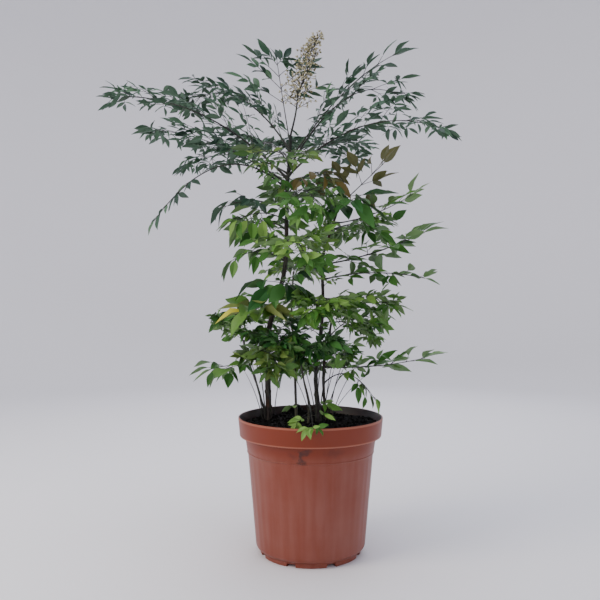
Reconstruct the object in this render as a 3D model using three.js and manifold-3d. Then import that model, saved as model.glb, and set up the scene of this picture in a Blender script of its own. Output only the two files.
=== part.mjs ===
// Heavenly bamboo (Nandina domestica) growing in a moulded plastic nursery pot.
// Millimetres, +Z up. The origin is the centre of the pot's flat underside, and the plant is
// viewed from its front along +Y. A bearing is an angle in degrees in plan: 0 is +X (right),
// 90 is +Y (back), 180 is -X (left) and 270 is -Y (front).
import * as THREE from 'three';
import { mergeVertices } from 'three/addons/utils/BufferGeometryUtils.js';
import Module from 'manifold-3d';

const wasm = await Module();
wasm.setup();
const { Manifold, Mesh } = wasm;

// ---------------------------------------------------------------- driving dimensions

const GAP = 0.3; // clearance between solids that touch on the real plant
const SEAM = 0.02; // edges shorter than this, left where solids join, are closed up

const POT = {
  sides: 32,
  rimTop: 261,
  rimRadius: 140,
  bandLow: 225, // lower edge of the rim band
  bandLowRadius: 137,
  collarRadius: 127,
  collarLow: 195, // step between the collar and the body
  collarLowRadius: 122.5,
  bodyTopRadius: 121.5,
  heelHeight: 20, // where the wall starts to turn in towards the foot
  heelRadius: 106,
  footTop: 10,
  footRadius: 97,
  wall: 3,
  floor: 5,
  notches: 8,
  notchDepth: 14,
  notchWidth: 19,
  notchHeight: 8,
};

const SOIL = {
  top: 246, // level of the compost's flat surface
};

const RACHIS = {
  steps: 4,
  tipRadius: 1.5,
  swelling: 0.0034, // what each millimetre of reach and span adds to the radius at its root
  boughShare: 0.8, // share of the bare stretch that is the bough, where it is a limb of its own
  boughSides: 5,
  nearest: 0.03, // share of the rachis over which its direction at a point is taken
};

// A frond's rachis bears pairs of pinnae at its nodes, and a pinna bears pairs of leaflets and one
// leaflet at its tip. Angles are in degrees, and a `swing` is the random part of a value.
const PINNA = {
  rootRadius: 0.8,
  tipRadius: 0.7,
  lastNode: 0.95, // place of the last node along the rachis
  crowding: 0.9, // below 1 the nodes stand closer together towards the tip
  angle: 62, // from the rachis, at the first node
  angleFall: 18, // less by the last node
  angleSwing: 12,
  lengthFall: 0.6, // share of the length lost by the last node
  lengthLeast: 0.85,
  lengthSwing: 0.3,
  lift: 0.1,
  hangShare: 0.25, // share of a frond's hang that its pinnae take
  sprayFall: 0.8, // share of the leaflet pairs lost by the last node
  outerPair: 0.8, // place of the outermost pair of leaflets along the pinna
  pairStretch: 0.72, // share of the pinna over which the pairs are spread
  stagger: 1.6, // how far a right-hand pinna or leaflet stands ahead of its left-hand partner
  turns: [0, 0.35, -0.35, 0.7, -0.7], // lifts tried in order where the space is taken
};

// Leaflets are a little larger than life so that fewer of them carry the crown's outline.
const LEAF = {
  widest: 0.42, // place of the widest point along the blade
  slimness: 0.4, // width as a share of length
  thickness: 1.2,
  spread: 50, // angle between a side leaflet and its twig
  spreadSwing: 14,
  lengthLeast: 0.82,
  lengthSwing: 0.36,
  tipLonger: 1.1, // a leaflet at a twig's tip against the others
  sunk: 0.1, // place of a side blade's root beside its twig's axis
  turns: [0, 0.4, -0.4],
};

// The random part of a twig's lift, of a leaflet's droop and of its roll in degrees.
const FLAT = { twigSwing: 0.35, leafSwing: 0.3, roll: 24 };
const LOOSE = { twigSwing: 1.1, leafSwing: 0.7, roll: 50 };
const FLAT_FRONDS = 12;

const CLAIM = {
  cell: 4, // side of the cells in which a mass claims its space
  step: 2, // spacing of the points that claim them
  stemFree: 16, // a stem may lie this close to the limb that carries it
  potMargin: 3,
  crumbs: 6, // room left above the compost's flat surface
};

// Each cane runs through a few knots [x, y, z] from its flat cut at soil level.
const CANES = [
  {
    name: 'cane_tall', foot: 6.2, tip: 2.6, flare: 1.25, sides: 8,
    knots: [[-84, 62, 246], [-86, 55, 350], [-84, 48, 422], [-68, 40, 483], [-51, 30, 547],
      [-47, 22, 618], [-46, 15, 705], [-40, 10, 780], [-39, 10, 808]],
  },
  {
    name: 'cane_middle', foot: 4.2, tip: 2.2, flare: 1.25, sides: 7,
    knots: [[15, 20, 246], [11, 22, 352], [21, 24, 423], [25, 25, 476], [25, 20, 571],
      [35, 15, 606], [58, 5, 676]],
  },
  {
    name: 'cane_right', foot: 3.1, tip: 1.9, flare: 1.2, sides: 6,
    knots: [[32, 45, 246], [27, 42, 305], [28, 39, 360], [40, 40, 426], [48, 45, 486]],
  },
  {
    name: 'shoot_left', foot: 2.4, tip: 1.7, flare: 1.2, sides: 6,
    knots: [[-90, 74, 246], [-110, 84, 312], [-128, 90, 361], [-139, 92, 403]],
  },
  {
    name: 'shoot_front', foot: 2.0, tip: 1.5, flare: 1.2, sides: 6,
    knots: [[-4, 4, 246], [-4, 0, 286], [-12, -5, 325], [-20, -12, 372]],
  },
  {
    name: 'shoot_back', foot: 2.8, tip: 1.8, flare: 1.2, sides: 6,
    knots: [[-28, 70, 246], [-32, 88, 360], [-38, 106, 470], [-34, 112, 545]],
  },
];

const TONES = {
  deep: '#3b5f4a',
  mid: '#446f3c',
  dark: '#2c5230',
  fresh: '#5c8640',
  lime: '#86983f',
  bronze: '#756638',
  yellowing: '#a9a33c',
};

// A frond is one compound leaf. It leaves its cane at height `at`, and its rachis ends `reach`
// away in plan at `bearing` and `rise` higher, bowed up by `arch` at its middle control point.
// `bare` is the share of the rachis below its first pinnae, `pairs` the number of pinna pairs,
// `span` the longest pinna, `spray` its pairs of leaflets, `leaf` a leaflet's length and
// `hang` how far leaflets turn down. `bough` makes the bare petiole a limb of its own, and the
// first FLAT_FRONDS fronds hold their leaflets in one flat layer.
const FRONDS = [
  { name: 'frond_top_left_long', cane: 'cane_tall', at: 724, bearing: 192, reach: 316, rise: 142,
    arch: 84, bare: 0.25, pairs: 5, span: 96, spray: 2, leaf: 39, hang: 0.1, tone: 'deep', bough: true },
  { name: 'frond_top_right_front', cane: 'cane_tall', at: 729, bearing: 341, reach: 292, rise: 73,
    arch: 97, bare: 0.3, pairs: 4, span: 78, spray: 2, leaf: 43, hang: 0.15, tone: 'deep', bough: true },
  { name: 'frond_top_right_long', cane: 'cane_tall', at: 742, bearing: 8, reach: 226, rise: 155,
    arch: 130, bare: 0.3, pairs: 4, span: 88, spray: 2, leaf: 41, hang: 0.1, tone: 'deep', bough: true },
  { name: 'frond_top_right_rising', cane: 'cane_tall', at: 757, bearing: 352, reach: 213, rise: 204,
    arch: 57, bare: 0.6, pairs: 3, span: 34, spray: 1, leaf: 40, hang: 0, tone: 'deep', bough: true },
  { name: 'frond_crown_leader', cane: 'cane_tall', at: 790, bearing: 122, reach: 52, rise: 180,
    arch: -6, bare: 0.5, pairs: 3, span: 96, spray: 2, leaf: 33, hang: 0, tone: 'deep' },
  { name: 'frond_top_left_high', cane: 'cane_tall', at: 779, bearing: 168, reach: 196, rise: 112,
    arch: 100, bare: 0.25, pairs: 4, span: 82, spray: 2, leaf: 39, hang: 0.1, tone: 'deep', bough: true },
  { name: 'frond_top_left_low', cane: 'cane_tall', at: 714, bearing: 178, reach: 256, rise: 108,
    arch: 40, bare: 0.42, pairs: 4, span: 84, spray: 2, leaf: 39, hang: 0.2, tone: 'deep' },
  { name: 'frond_top_left_back', cane: 'cane_tall', at: 734, bearing: 152, reach: 235, rise: 42,
    arch: 55, bare: 0.35, pairs: 3, span: 80, spray: 2, leaf: 39, hang: 0.3, tone: 'deep' },
  { name: 'frond_drooping', cane: 'cane_tall', at: 703, bearing: 204, reach: 262, rise: -74,
    arch: 149, bare: 0.66, pairs: 3, span: 26, spray: 1, leaf: 28, hang: 0.4, tone: 'deep', bough: true },
  { name: 'frond_top_front', cane: 'cane_tall', at: 750, bearing: 264, reach: 168, rise: -24,
    arch: 40, bare: 0.35, pairs: 3, span: 60, spray: 1, leaf: 36, hang: 0.1, tone: 'lime' },
  { name: 'frond_top_back_left', cane: 'cane_tall', at: 752, bearing: 112, reach: 238, rise: 76,
    arch: 60, bare: 0.32, pairs: 4, span: 84, spray: 2, leaf: 38, hang: 0.1, tone: 'deep' },
  { name: 'frond_top_back_right', cane: 'cane_tall', at: 736, bearing: 58, reach: 262, rise: 74,
    arch: 90, bare: 0.32, pairs: 4, span: 84, spray: 2, leaf: 40, hang: 0.1, tone: 'deep' },

  { name: 'frond_bronze', cane: 'cane_middle', at: 670, bearing: 321, reach: 102, rise: 70,
    arch: 0, bare: 0.25, pairs: 3, span: 52, spray: 1, leaf: 36, hang: 0, tone: 'bronze' },
  { name: 'frond_big_leaf', cane: 'cane_middle', at: 656, bearing: 286, reach: 92, rise: 12,
    arch: 12, bare: 0.4, pairs: 2, span: 44, spray: 1, leaf: 54, hang: 0.5, tone: 'mid' },
  { name: 'frond_upper_middle', cane: 'cane_tall', at: 692, bearing: 306, reach: 128, rise: 26,
    arch: 30, bare: 0.3, pairs: 3, span: 62, spray: 1, leaf: 34, hang: 0.4, tone: 'bronze' },
  { name: 'frond_right_upper', cane: 'cane_middle', at: 636, bearing: 342, reach: 156, rise: 50,
    arch: -20, bare: 0.25, pairs: 4, span: 36, spray: 1, leaf: 38, hang: 0.1, tone: 'fresh' },
  { name: 'frond_right_middle', cane: 'cane_middle', at: 556, bearing: 327, reach: 216, rise: 52,
    arch: -16, bare: 0.25, pairs: 4, span: 44, spray: 2, leaf: 38, hang: 0.1, tone: 'mid', bough: true },
  { name: 'frond_right_long', cane: 'cane_middle', at: 526, bearing: 334, reach: 208, rise: 0,
    arch: 24, bare: 0.25, pairs: 4, span: 36, spray: 1, leaf: 32, hang: 0, tone: 'mid' },
  { name: 'frond_right_inner', cane: 'cane_middle', at: 490, bearing: 347, reach: 129, rise: -8,
    arch: -10, bare: 0.25, pairs: 3, span: 50, spray: 1, leaf: 35, hang: 0.15, tone: 'fresh' },
  { name: 'frond_right_cluster', cane: 'cane_right', at: 440, bearing: 12, reach: 84, rise: -20,
    arch: 20, bare: 0.2, pairs: 3, span: 50, spray: 1, leaf: 28, hang: 0.25, tone: 'fresh' },
  { name: 'frond_right_lowest', cane: 'cane_right', at: 352, bearing: 333, reach: 209, rise: 26,
    arch: -14, bare: 0.35, pairs: 4, span: 34, spray: 1, leaf: 38, hang: -0.2, tone: 'mid' },
  { name: 'frond_right_hanging', cane: 'cane_right', at: 318, bearing: 327, reach: 116, rise: -24,
    arch: 68, bare: 0.4, pairs: 3, span: 34, spray: 1, leaf: 26, hang: 0.8, tone: 'fresh' },
  { name: 'frond_pot_front', cane: 'shoot_front', at: 282, bearing: 272, reach: 141, rise: -12,
    arch: 14, bare: 0.3, pairs: 3, span: 26, spray: 1, leaf: 30, hang: 0.2, tone: 'fresh' },
  { name: 'frond_front_dense_centre', cane: 'shoot_front', at: 370, bearing: 300, reach: 92, rise: 42,
    arch: 10, bare: 0.1, pairs: 3, span: 50, spray: 1, leaf: 32, hang: 0.25, tone: 'dark' },

  { name: 'frond_left_upper_front', cane: 'cane_tall', at: 642, bearing: 222, reach: 122, rise: -8,
    arch: 29, bare: 0.3, pairs: 3, span: 48, spray: 1, leaf: 38, hang: 0.7, tone: 'fresh' },
  { name: 'frond_left_upper_back', cane: 'cane_tall', at: 666, bearing: 174, reach: 128, rise: 5,
    arch: 27, bare: 0.35, pairs: 3, span: 54, spray: 1, leaf: 34, hang: 0.5, tone: 'deep' },
  { name: 'frond_left_middle', cane: 'cane_tall', at: 562, bearing: 206, reach: 112, rise: 0,
    arch: 37, bare: 0.3, pairs: 3, span: 26, spray: 1, leaf: 34, hang: 0.7, tone: 'mid' },
  { name: 'frond_yellowing', cane: 'cane_tall', at: 468, bearing: 250, reach: 112, rise: 4,
    arch: 16, bare: 0.5, pairs: 2, span: 40, spray: 1, leaf: 52, hang: 0, tone: 'yellowing' },
  { name: 'frond_left_back', cane: 'cane_tall', at: 452, bearing: 156, reach: 117, rise: 2,
    arch: 20, bare: 0.3, pairs: 3, span: 44, spray: 1, leaf: 32, hang: 0.3, tone: 'mid' },
  { name: 'frond_left_lowest', cane: 'shoot_left', at: 350, bearing: 204, reach: 82, rise: -4,
    arch: 8, bare: 0.2, pairs: 3, span: 44, spray: 1, leaf: 36, hang: 0.3, tone: 'mid' },
  { name: 'frond_left_cluster', cane: 'shoot_left', at: 394, bearing: 282, reach: 84, rise: 28,
    arch: 20, bare: 0.12, pairs: 3, span: 46, spray: 1, leaf: 30, hang: 0.25, tone: 'fresh' },
  { name: 'frond_front_dense_left', cane: 'cane_tall', at: 416, bearing: 286, reach: 134, rise: -4,
    arch: 16, bare: 0.25, pairs: 3, span: 56, spray: 1, leaf: 32, hang: 0.25, tone: 'dark' },

  { name: 'frond_centre_dark', cane: 'cane_tall', at: 676, bearing: 291, reach: 160, rise: -20,
    arch: 50, bare: 0.3, pairs: 4, span: 60, spray: 1, leaf: 38, hang: 0.7, tone: 'mid' },
  { name: 'frond_front_light', cane: 'cane_tall', at: 578, bearing: 280, reach: 200, rise: -12,
    arch: 44, bare: 0.35, pairs: 4, span: 60, spray: 2, leaf: 40, hang: 0.25, tone: 'fresh' },
  { name: 'frond_front_dark', cane: 'cane_tall', at: 512, bearing: 277, reach: 132, rise: 2,
    arch: 14, bare: 0.35, pairs: 2, span: 56, spray: 1, leaf: 44, hang: 0.5, tone: 'dark' },
  { name: 'frond_front_centre', cane: 'cane_middle', at: 464, bearing: 263, reach: 150, rise: 12,
    arch: 36, bare: 0.3, pairs: 3, span: 62, spray: 1, leaf: 36, hang: 0.25, tone: 'fresh' },
  { name: 'frond_front_low', cane: 'cane_tall', at: 366, bearing: 277, reach: 176, rise: 10,
    arch: 44, bare: 0.35, pairs: 3, span: 52, spray: 1, leaf: 36, hang: 0.15, tone: 'lime' },

  { name: 'frond_back_left_high', cane: 'cane_tall', at: 624, bearing: 122, reach: 158, rise: 16,
    arch: 30, bare: 0.3, pairs: 3, span: 58, spray: 1, leaf: 42, hang: 0.3, tone: 'mid' },
  { name: 'frond_back_right_high', cane: 'cane_middle', at: 618, bearing: 52, reach: 168, rise: 20,
    arch: 30, bare: 0.3, pairs: 3, span: 56, spray: 1, leaf: 42, hang: 0.3, tone: 'mid' },
  { name: 'frond_back_tip', cane: 'shoot_back', at: 543, bearing: 84, reach: 112, rise: 26,
    arch: 20, bare: 0.15, pairs: 3, span: 56, spray: 1, leaf: 42, hang: 0.3, tone: 'fresh' },
  { name: 'frond_back_right_low', cane: 'cane_right', at: 412, bearing: 48, reach: 142, rise: 36,
    arch: 30, bare: 0.3, pairs: 3, span: 52, spray: 1, leaf: 38, hang: 0.4, tone: 'mid' },
  { name: 'frond_back_low', cane: 'shoot_back', at: 424, bearing: 108, reach: 136, rise: 26,
    arch: 24, bare: 0.25, pairs: 3, span: 54, spray: 1, leaf: 38, hang: 0.4, tone: 'mid' },
  { name: 'frond_back_centre', cane: 'cane_tall', at: 712, bearing: 84, reach: 176, rise: 4,
    arch: 44, bare: 0.3, pairs: 4, span: 60, spray: 1, leaf: 42, hang: 0.3, tone: 'mid' },
  { name: 'frond_back_lowest', cane: 'cane_middle', at: 336, bearing: 74, reach: 158, rise: 22,
    arch: 36, bare: 0.35, pairs: 3, span: 54, spray: 1, leaf: 40, hang: 0.4, tone: 'fresh' },
];

const PANICLE = {
  name: 'flower_panicle',
  key: 97, // of its random numbers
  // main stem, from the tall cane's tip to the top of the flower head
  knots: [[-30, 10, 846], [-21, 8, 898], [-8, 5, 930], [0, 2, 968], [14, 0, 996]],
  steps: 8,
  stemRadius: 2.0,
  tipRadius: 0.8,
  firstBranch: 0.27, // place of the first branch along the stem
  lastBranch: 0.97,
  branches: 9,
  branchRadius: 0.9,
  branchTipRadius: 0.7,
  longest: 34,
  lengthFall: 0.72, // share of the length lost by the last branch
  lengthLeast: 0.75,
  lengthSwing: 0.5,
  lift: 0.55,
  liftSwing: 0.4,
  turn: 137.5, // degrees round the stem from one branch to the next
  buds: 2, // along each branch, besides the one at its tip
  budStretch: 2.6, // the buds stand at 1 and 2 parts of a branch of so many parts
  budTurn: 70, // degrees from the branch
  budLength: 9,
  budWidth: 5,
};

// ---------------------------------------------------------------- small helpers

const UP = new THREE.Vector3(0, 0, 1);
const radians = THREE.MathUtils.degToRad;
const vector = (x, y, z) => new THREE.Vector3(x, y, z);

/**
 * A seeded random number in [0, 1) that depends only on its keys, which are whole numbers from
 * -128 up, so a twig or leaflet grows the same way whatever grew before it.
 */
function draw(...keys) {
  let state = 2166136261;
  for (const key of keys) {
    state = Math.imul(state ^ (key + 128), 16777619);
    state = Math.imul(state ^ (state >>> 13), 1540483477);
    state ^= state >>> 15;
  }
  return (state >>> 0) / 4294967296;
}

function solidFrom(geometry) {
  const bare = geometry.clone();
  bare.deleteAttribute('normal');
  bare.deleteAttribute('uv');
  const merged = mergeVertices(bare, 1e-4);
  return new Manifold(new Mesh({
    numProp: 3,
    vertProperties: new Float32Array(merged.attributes.position.array),
    triVerts: new Uint32Array(merged.index.array),
  }));
}

function meshFrom(solid, name, material) {
  const { vertProperties, triVerts } = solid.simplify(SEAM).getMesh();
  const geometry = new THREE.BufferGeometry();
  geometry.setAttribute('position', new THREE.BufferAttribute(vertProperties, 3));
  geometry.setIndex(new THREE.BufferAttribute(triVerts, 1));
  geometry.computeVertexNormals();
  const mesh = new THREE.Mesh(geometry, material);
  mesh.name = name;
  return mesh;
}

function joined(solids) {
  return solids.reduce((whole, solid) => whole.add(solid));
}

/** The largest body of a solid, which drops the stub that a cut leaves inside a cane. */
function largestBody(solid) {
  const bodies = solid.decompose();
  return bodies.reduce((best, body) => (body.volume() > best.volume() ? body : best));
}

/** The way a chain of points runs at one of them. */
function axisAlong(points, i) {
  const before = points[Math.max(i - 1, 0)];
  const after = points[Math.min(i + 1, points.length - 1)];
  return after.clone().sub(before).normalize();
}

/**
 * A closed tapering limb with flat ends: one ring of corners round each point of its axis. Its
 * first and last rings face along the axis, or along `start` and `end` where those are given.
 */
function limbGeometry(points, radii, sides, { start, end } = {}) {
  const positions = [];
  const faces = [];
  const run = points.at(-1).clone().sub(points[0]).normalize();
  const reference = Math.abs(run.z) > 0.8 ? vector(0, 1, 0) : UP;
  points.forEach((point, i) => {
    const given = i === 0 ? start : i === points.length - 1 && end;
    const along = given || axisAlong(points, i);
    const across = reference.clone().cross(along).normalize();
    const upward = along.clone().cross(across);
    for (let k = 0; k < sides; k += 1) {
      const angle = (2 * Math.PI * k) / sides;
      const corner = point.clone()
        .addScaledVector(across, radii[i] * Math.cos(angle))
        .addScaledVector(upward, radii[i] * Math.sin(angle));
      positions.push(...corner.toArray());
    }
  });
  for (let i = 0; i + 1 < points.length; i += 1) {
    for (let k = 0; k < sides; k += 1) {
      const a = i * sides + k;
      const b = i * sides + ((k + 1) % sides);
      faces.push(a, b, a + sides, b, b + sides, a + sides);
    }
  }
  const last = (points.length - 1) * sides;
  for (let k = 1; k + 1 < sides; k += 1) {
    faces.push(0, k + 1, k, last, last + k, last + k + 1);
  }
  return indexedGeometry(positions, faces);
}

function indexedGeometry(positions, faces) {
  const geometry = new THREE.BufferGeometry();
  geometry.setAttribute('position', new THREE.Float32BufferAttribute(positions, 3));
  geometry.setIndex(faces);
  return geometry;
}

/** The three corners of a twig's or a blade's section: right, top and left. */
function section(centre, across, face, half, rise, drop) {
  return [
    centre.clone().addScaledVector(across, half).addScaledVector(face, -drop),
    centre.clone().addScaledVector(face, rise),
    centre.clone().addScaledVector(across, -half).addScaledVector(face, -drop),
  ];
}

/** A blade's widest section, which is flat below and has a low keel above. */
function bladeSection(blade) {
  const middle = blade.root.clone().addScaledVector(blade.along, blade.length * LEAF.widest);
  return section(middle, blade.across, blade.face, blade.width / 2, blade.keel, 0);
}

const bladeTip = (blade) => blade.root.clone().addScaledVector(blade.along, blade.length);

/** A keeled blade of six faces, pointed at its root and at its tip. */
function bladeGeometry(blade) {
  const corners = [blade.root, ...bladeSection(blade), bladeTip(blade)];
  const faces = [0, 2, 1, 0, 3, 2, 0, 1, 3, 4, 1, 2, 4, 2, 3, 4, 3, 1];
  return indexedGeometry(corners.flatMap((corner) => corner.toArray()), faces);
}

/**
 * A three-sided tapering twig, which runs out into a blade at its tip where it has one. Its first
 * ring faces along the axis, or along `start` where that is given.
 */
function twigGeometry(points, radii, blade, start) {
  const sections = points.map((point, i) => {
    const along = i === 0 && start ? start : axisAlong(points, i);
    const across = (blade ? blade.face : UP).clone().cross(along).normalize();
    const face = along.clone().cross(across);
    return section(point, across, face, 0.87 * radii[i], radii[i], 0.5 * radii[i]);
  });
  if (blade) {
    sections.push(bladeSection(blade));
  }
  const faces = [0, 2, 1];
  for (let i = 0; i + 1 < sections.length; i += 1) {
    for (let k = 0; k < 3; k += 1) {
      const a = 3 * i + k;
      const b = 3 * i + ((k + 1) % 3);
      faces.push(a, b, a + 3, b, b + 3, a + 3);
    }
  }
  const last = 3 * (sections.length - 1);
  const corners = sections.flat();
  if (blade) {
    corners.push(bladeTip(blade));
    const tip = last + 3;
    faces.push(tip, last, last + 1, tip, last + 1, last + 2, tip, last + 2, last);
  } else {
    faces.push(last, last + 1, last + 2);
  }
  return indexedGeometry(corners.flatMap((corner) => corner.toArray()), faces);
}

// ---------------------------------------------------------------- space claimed by each mass

/** Cells of space, each owned by the limbs and masses that passed through it first. */
class Space {
  constructor() {
    this.owners = new Map();
  }

  static cellOf(point) {
    return [point.x, point.y, point.z].map((value) => Math.floor(value / CLAIM.cell));
  }

  static key(i, j, k) {
    return ((i + 512) * 1024 + (j + 512)) * 1024 + (k + 512);
  }

  claim(points, owner) {
    for (const point of points) {
      const key = Space.key(...Space.cellOf(point));
      const owners = this.owners.get(key);
      if (owners === undefined) {
        this.owners.set(key, [owner]);
      } else if (!owners.includes(owner)) {
        owners.push(owner);
      }
    }
  }

  isFree(points, owner) {
    return points.every((point) => {
      if (!clearOfPot(point)) {
        return false;
      }
      const [i, j, k] = Space.cellOf(point);
      for (let n = 0; n < 27; n += 1) {
        const key = Space.key(i + (n % 3) - 1, j + (Math.floor(n / 3) % 3) - 1, k + Math.floor(n / 9) - 1);
        const owners = this.owners.get(key);
        if (owners !== undefined && owners.some((other) => other !== owner)) {
          return false;
        }
      }
      return true;
    });
  }
}

/** True where a twig or leaf misses the pot's rim and the compost by a few millimetres. */
function clearOfPot(point) {
  const radius = Math.hypot(point.x, point.y);
  if (radius > POT.rimRadius + CLAIM.potMargin) {
    return true;
  }
  const onRim = radius > POT.collarRadius - CLAIM.potMargin;
  return point.z > (onRim ? POT.rimTop : SOIL.top + CLAIM.crumbs) + CLAIM.potMargin;
}

function pointsAlong(points) {
  const found = [];
  for (let i = 0; i + 1 < points.length; i += 1) {
    const count = Math.ceil(points[i].distanceTo(points[i + 1]) / CLAIM.step);
    for (let n = 0; n <= count; n += 1) {
      found.push(points[i].clone().lerp(points[i + 1], n / count));
    }
  }
  return found;
}

function pointsOnBlade({ root, along, across, length, width }) {
  const found = [];
  const rows = Math.ceil(length / CLAIM.step);
  for (let n = 0; n <= rows; n += 1) {
    const share = n / rows;
    const taper = share < LEAF.widest ? share / LEAF.widest : (1 - share) / (1 - LEAF.widest);
    const half = (width / 2) * taper;
    const columns = Math.max(Math.ceil((2 * half) / CLAIM.step), 1);
    for (let m = 0; m <= columns; m += 1) {
      found.push(root.clone().addScaledVector(along, length * share)
        .addScaledVector(across, half * ((2 * m) / columns - 1)));
    }
  }
  return found;
}

// ---------------------------------------------------------------- pot and compost

/** The corners [radius, height] of the pot's inner face, from its floor up to its rim. */
function potInside() {
  const slope = (POT.bodyTopRadius - POT.heelRadius) / (POT.collarLow - POT.heelHeight);
  const hip = POT.footTop + 4;
  return [
    [POT.footRadius - POT.wall, POT.floor],
    [POT.heelRadius + slope * (hip - POT.heelHeight) - POT.wall, hip],
    [POT.collarLowRadius - POT.wall, POT.collarLow],
    [POT.collarRadius - POT.wall, POT.bandLow],
    [POT.rimRadius - POT.wall, POT.rimTop],
  ];
}

function turned(outline) {
  const corners = outline.map((corner) => new THREE.Vector2(...corner));
  const geometry = new THREE.LatheGeometry(corners, POT.sides);
  return solidFrom(geometry.rotateX(Math.PI / 2));
}

function potMesh() {
  let solid = turned([
    [0, 0], [POT.footRadius, 0], [POT.footRadius, POT.footTop], [POT.heelRadius, POT.heelHeight],
    [POT.bodyTopRadius, POT.collarLow - 1.5], [POT.collarLowRadius + 0.6, POT.collarLow],
    [POT.collarRadius, POT.bandLow], [POT.bandLowRadius, POT.bandLow],
    [POT.rimRadius, POT.rimTop], ...potInside().reverse(), [0, POT.floor],
  ]);
  for (let n = 0; n < POT.notches; n += 1) {
    const notch = new THREE.BoxGeometry(POT.notchDepth, POT.notchWidth, 2 * POT.notchHeight);
    notch.translate(POT.footRadius + 1, 0, 0);
    notch.rotateZ((2 * Math.PI * (n + 0.5)) / POT.notches);
    solid = solid.subtract(solidFrom(notch));
  }
  const material = new THREE.MeshStandardMaterial({ color: '#96543f', roughness: 0.5, metalness: 0 });
  return meshFrom(solid, 'pot', material);
}

/** The compost fills the pot to its own level, a hair's breadth clear of the floor and wall. */
function compostMesh() {
  const inside = potInside();
  const below = inside.filter(([, height]) => height < SOIL.top);
  const [lowRadius, low] = below.at(-1);
  const [highRadius, high] = inside[below.length];
  const edge = lowRadius + ((highRadius - lowRadius) * (SOIL.top - low)) / (high - low);
  const corners = [...below, [edge, SOIL.top]].map(([radius, height]) => (
    [radius - GAP - 0.1, Math.max(height, POT.floor + GAP)]));
  const material = new THREE.MeshStandardMaterial({ color: '#0c0a0a', roughness: 1, metalness: 0 });
  return meshFrom(turned([[0, POT.floor + GAP], ...corners, [0, SOIL.top]]), 'compost', material);
}

// ---------------------------------------------------------------- canes

/** A cane: a smooth axis through its knots, its taper, and the solid cut round by its neighbours. */
class Cane {
  constructor(spec) {
    this.name = spec.name;
    this.sides = spec.sides;
    const knots = spec.knots.map((knot) => vector(...knot));
    knots[0].z = SOIL.top + GAP;
    this.curve = new THREE.CatmullRomCurve3(knots, false, 'centripetal');
    const steps = knots.length + 3;
    this.points = this.curve.getSpacedPoints(steps);
    this.radii = this.points.map((point, i) => {
      const share = i / steps;
      const flare = i === 0 ? spec.flare : 1;
      return flare * (spec.foot + (spec.tip - spec.foot) * share);
    });
  }

  solid(extra = 0) {
    const radii = this.radii.map((radius) => radius + extra / Math.cos(Math.PI / this.sides));
    const points = [...this.points];
    points.push(points.pop().clone().addScaledVector(this.tipAlong, extra));
    return solidFrom(limbGeometry(points, radii, this.sides, { start: UP }));
  }

  /** The way the cane points at its tip. */
  get tipAlong() {
    return this.points.at(-1).clone().sub(this.points.at(-2)).normalize();
  }

  /** The point of the axis at a height, found along its straight steps. */
  pointAt(height) {
    for (let i = 0; i + 1 < this.points.length; i += 1) {
      const low = this.points[i];
      const high = this.points[i + 1];
      if (height <= high.z) {
        return low.clone().lerp(high, (height - low.z) / (high.z - low.z));
      }
    }
    return this.points.at(-1).clone();
  }

  mesh() {
    const material = new THREE.MeshStandardMaterial({ color: '#4b4440', roughness: 0.9, metalness: 0 });
    return meshFrom(this.solid(), this.name, material);
  }
}

// ---------------------------------------------------------------- fronds

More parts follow.
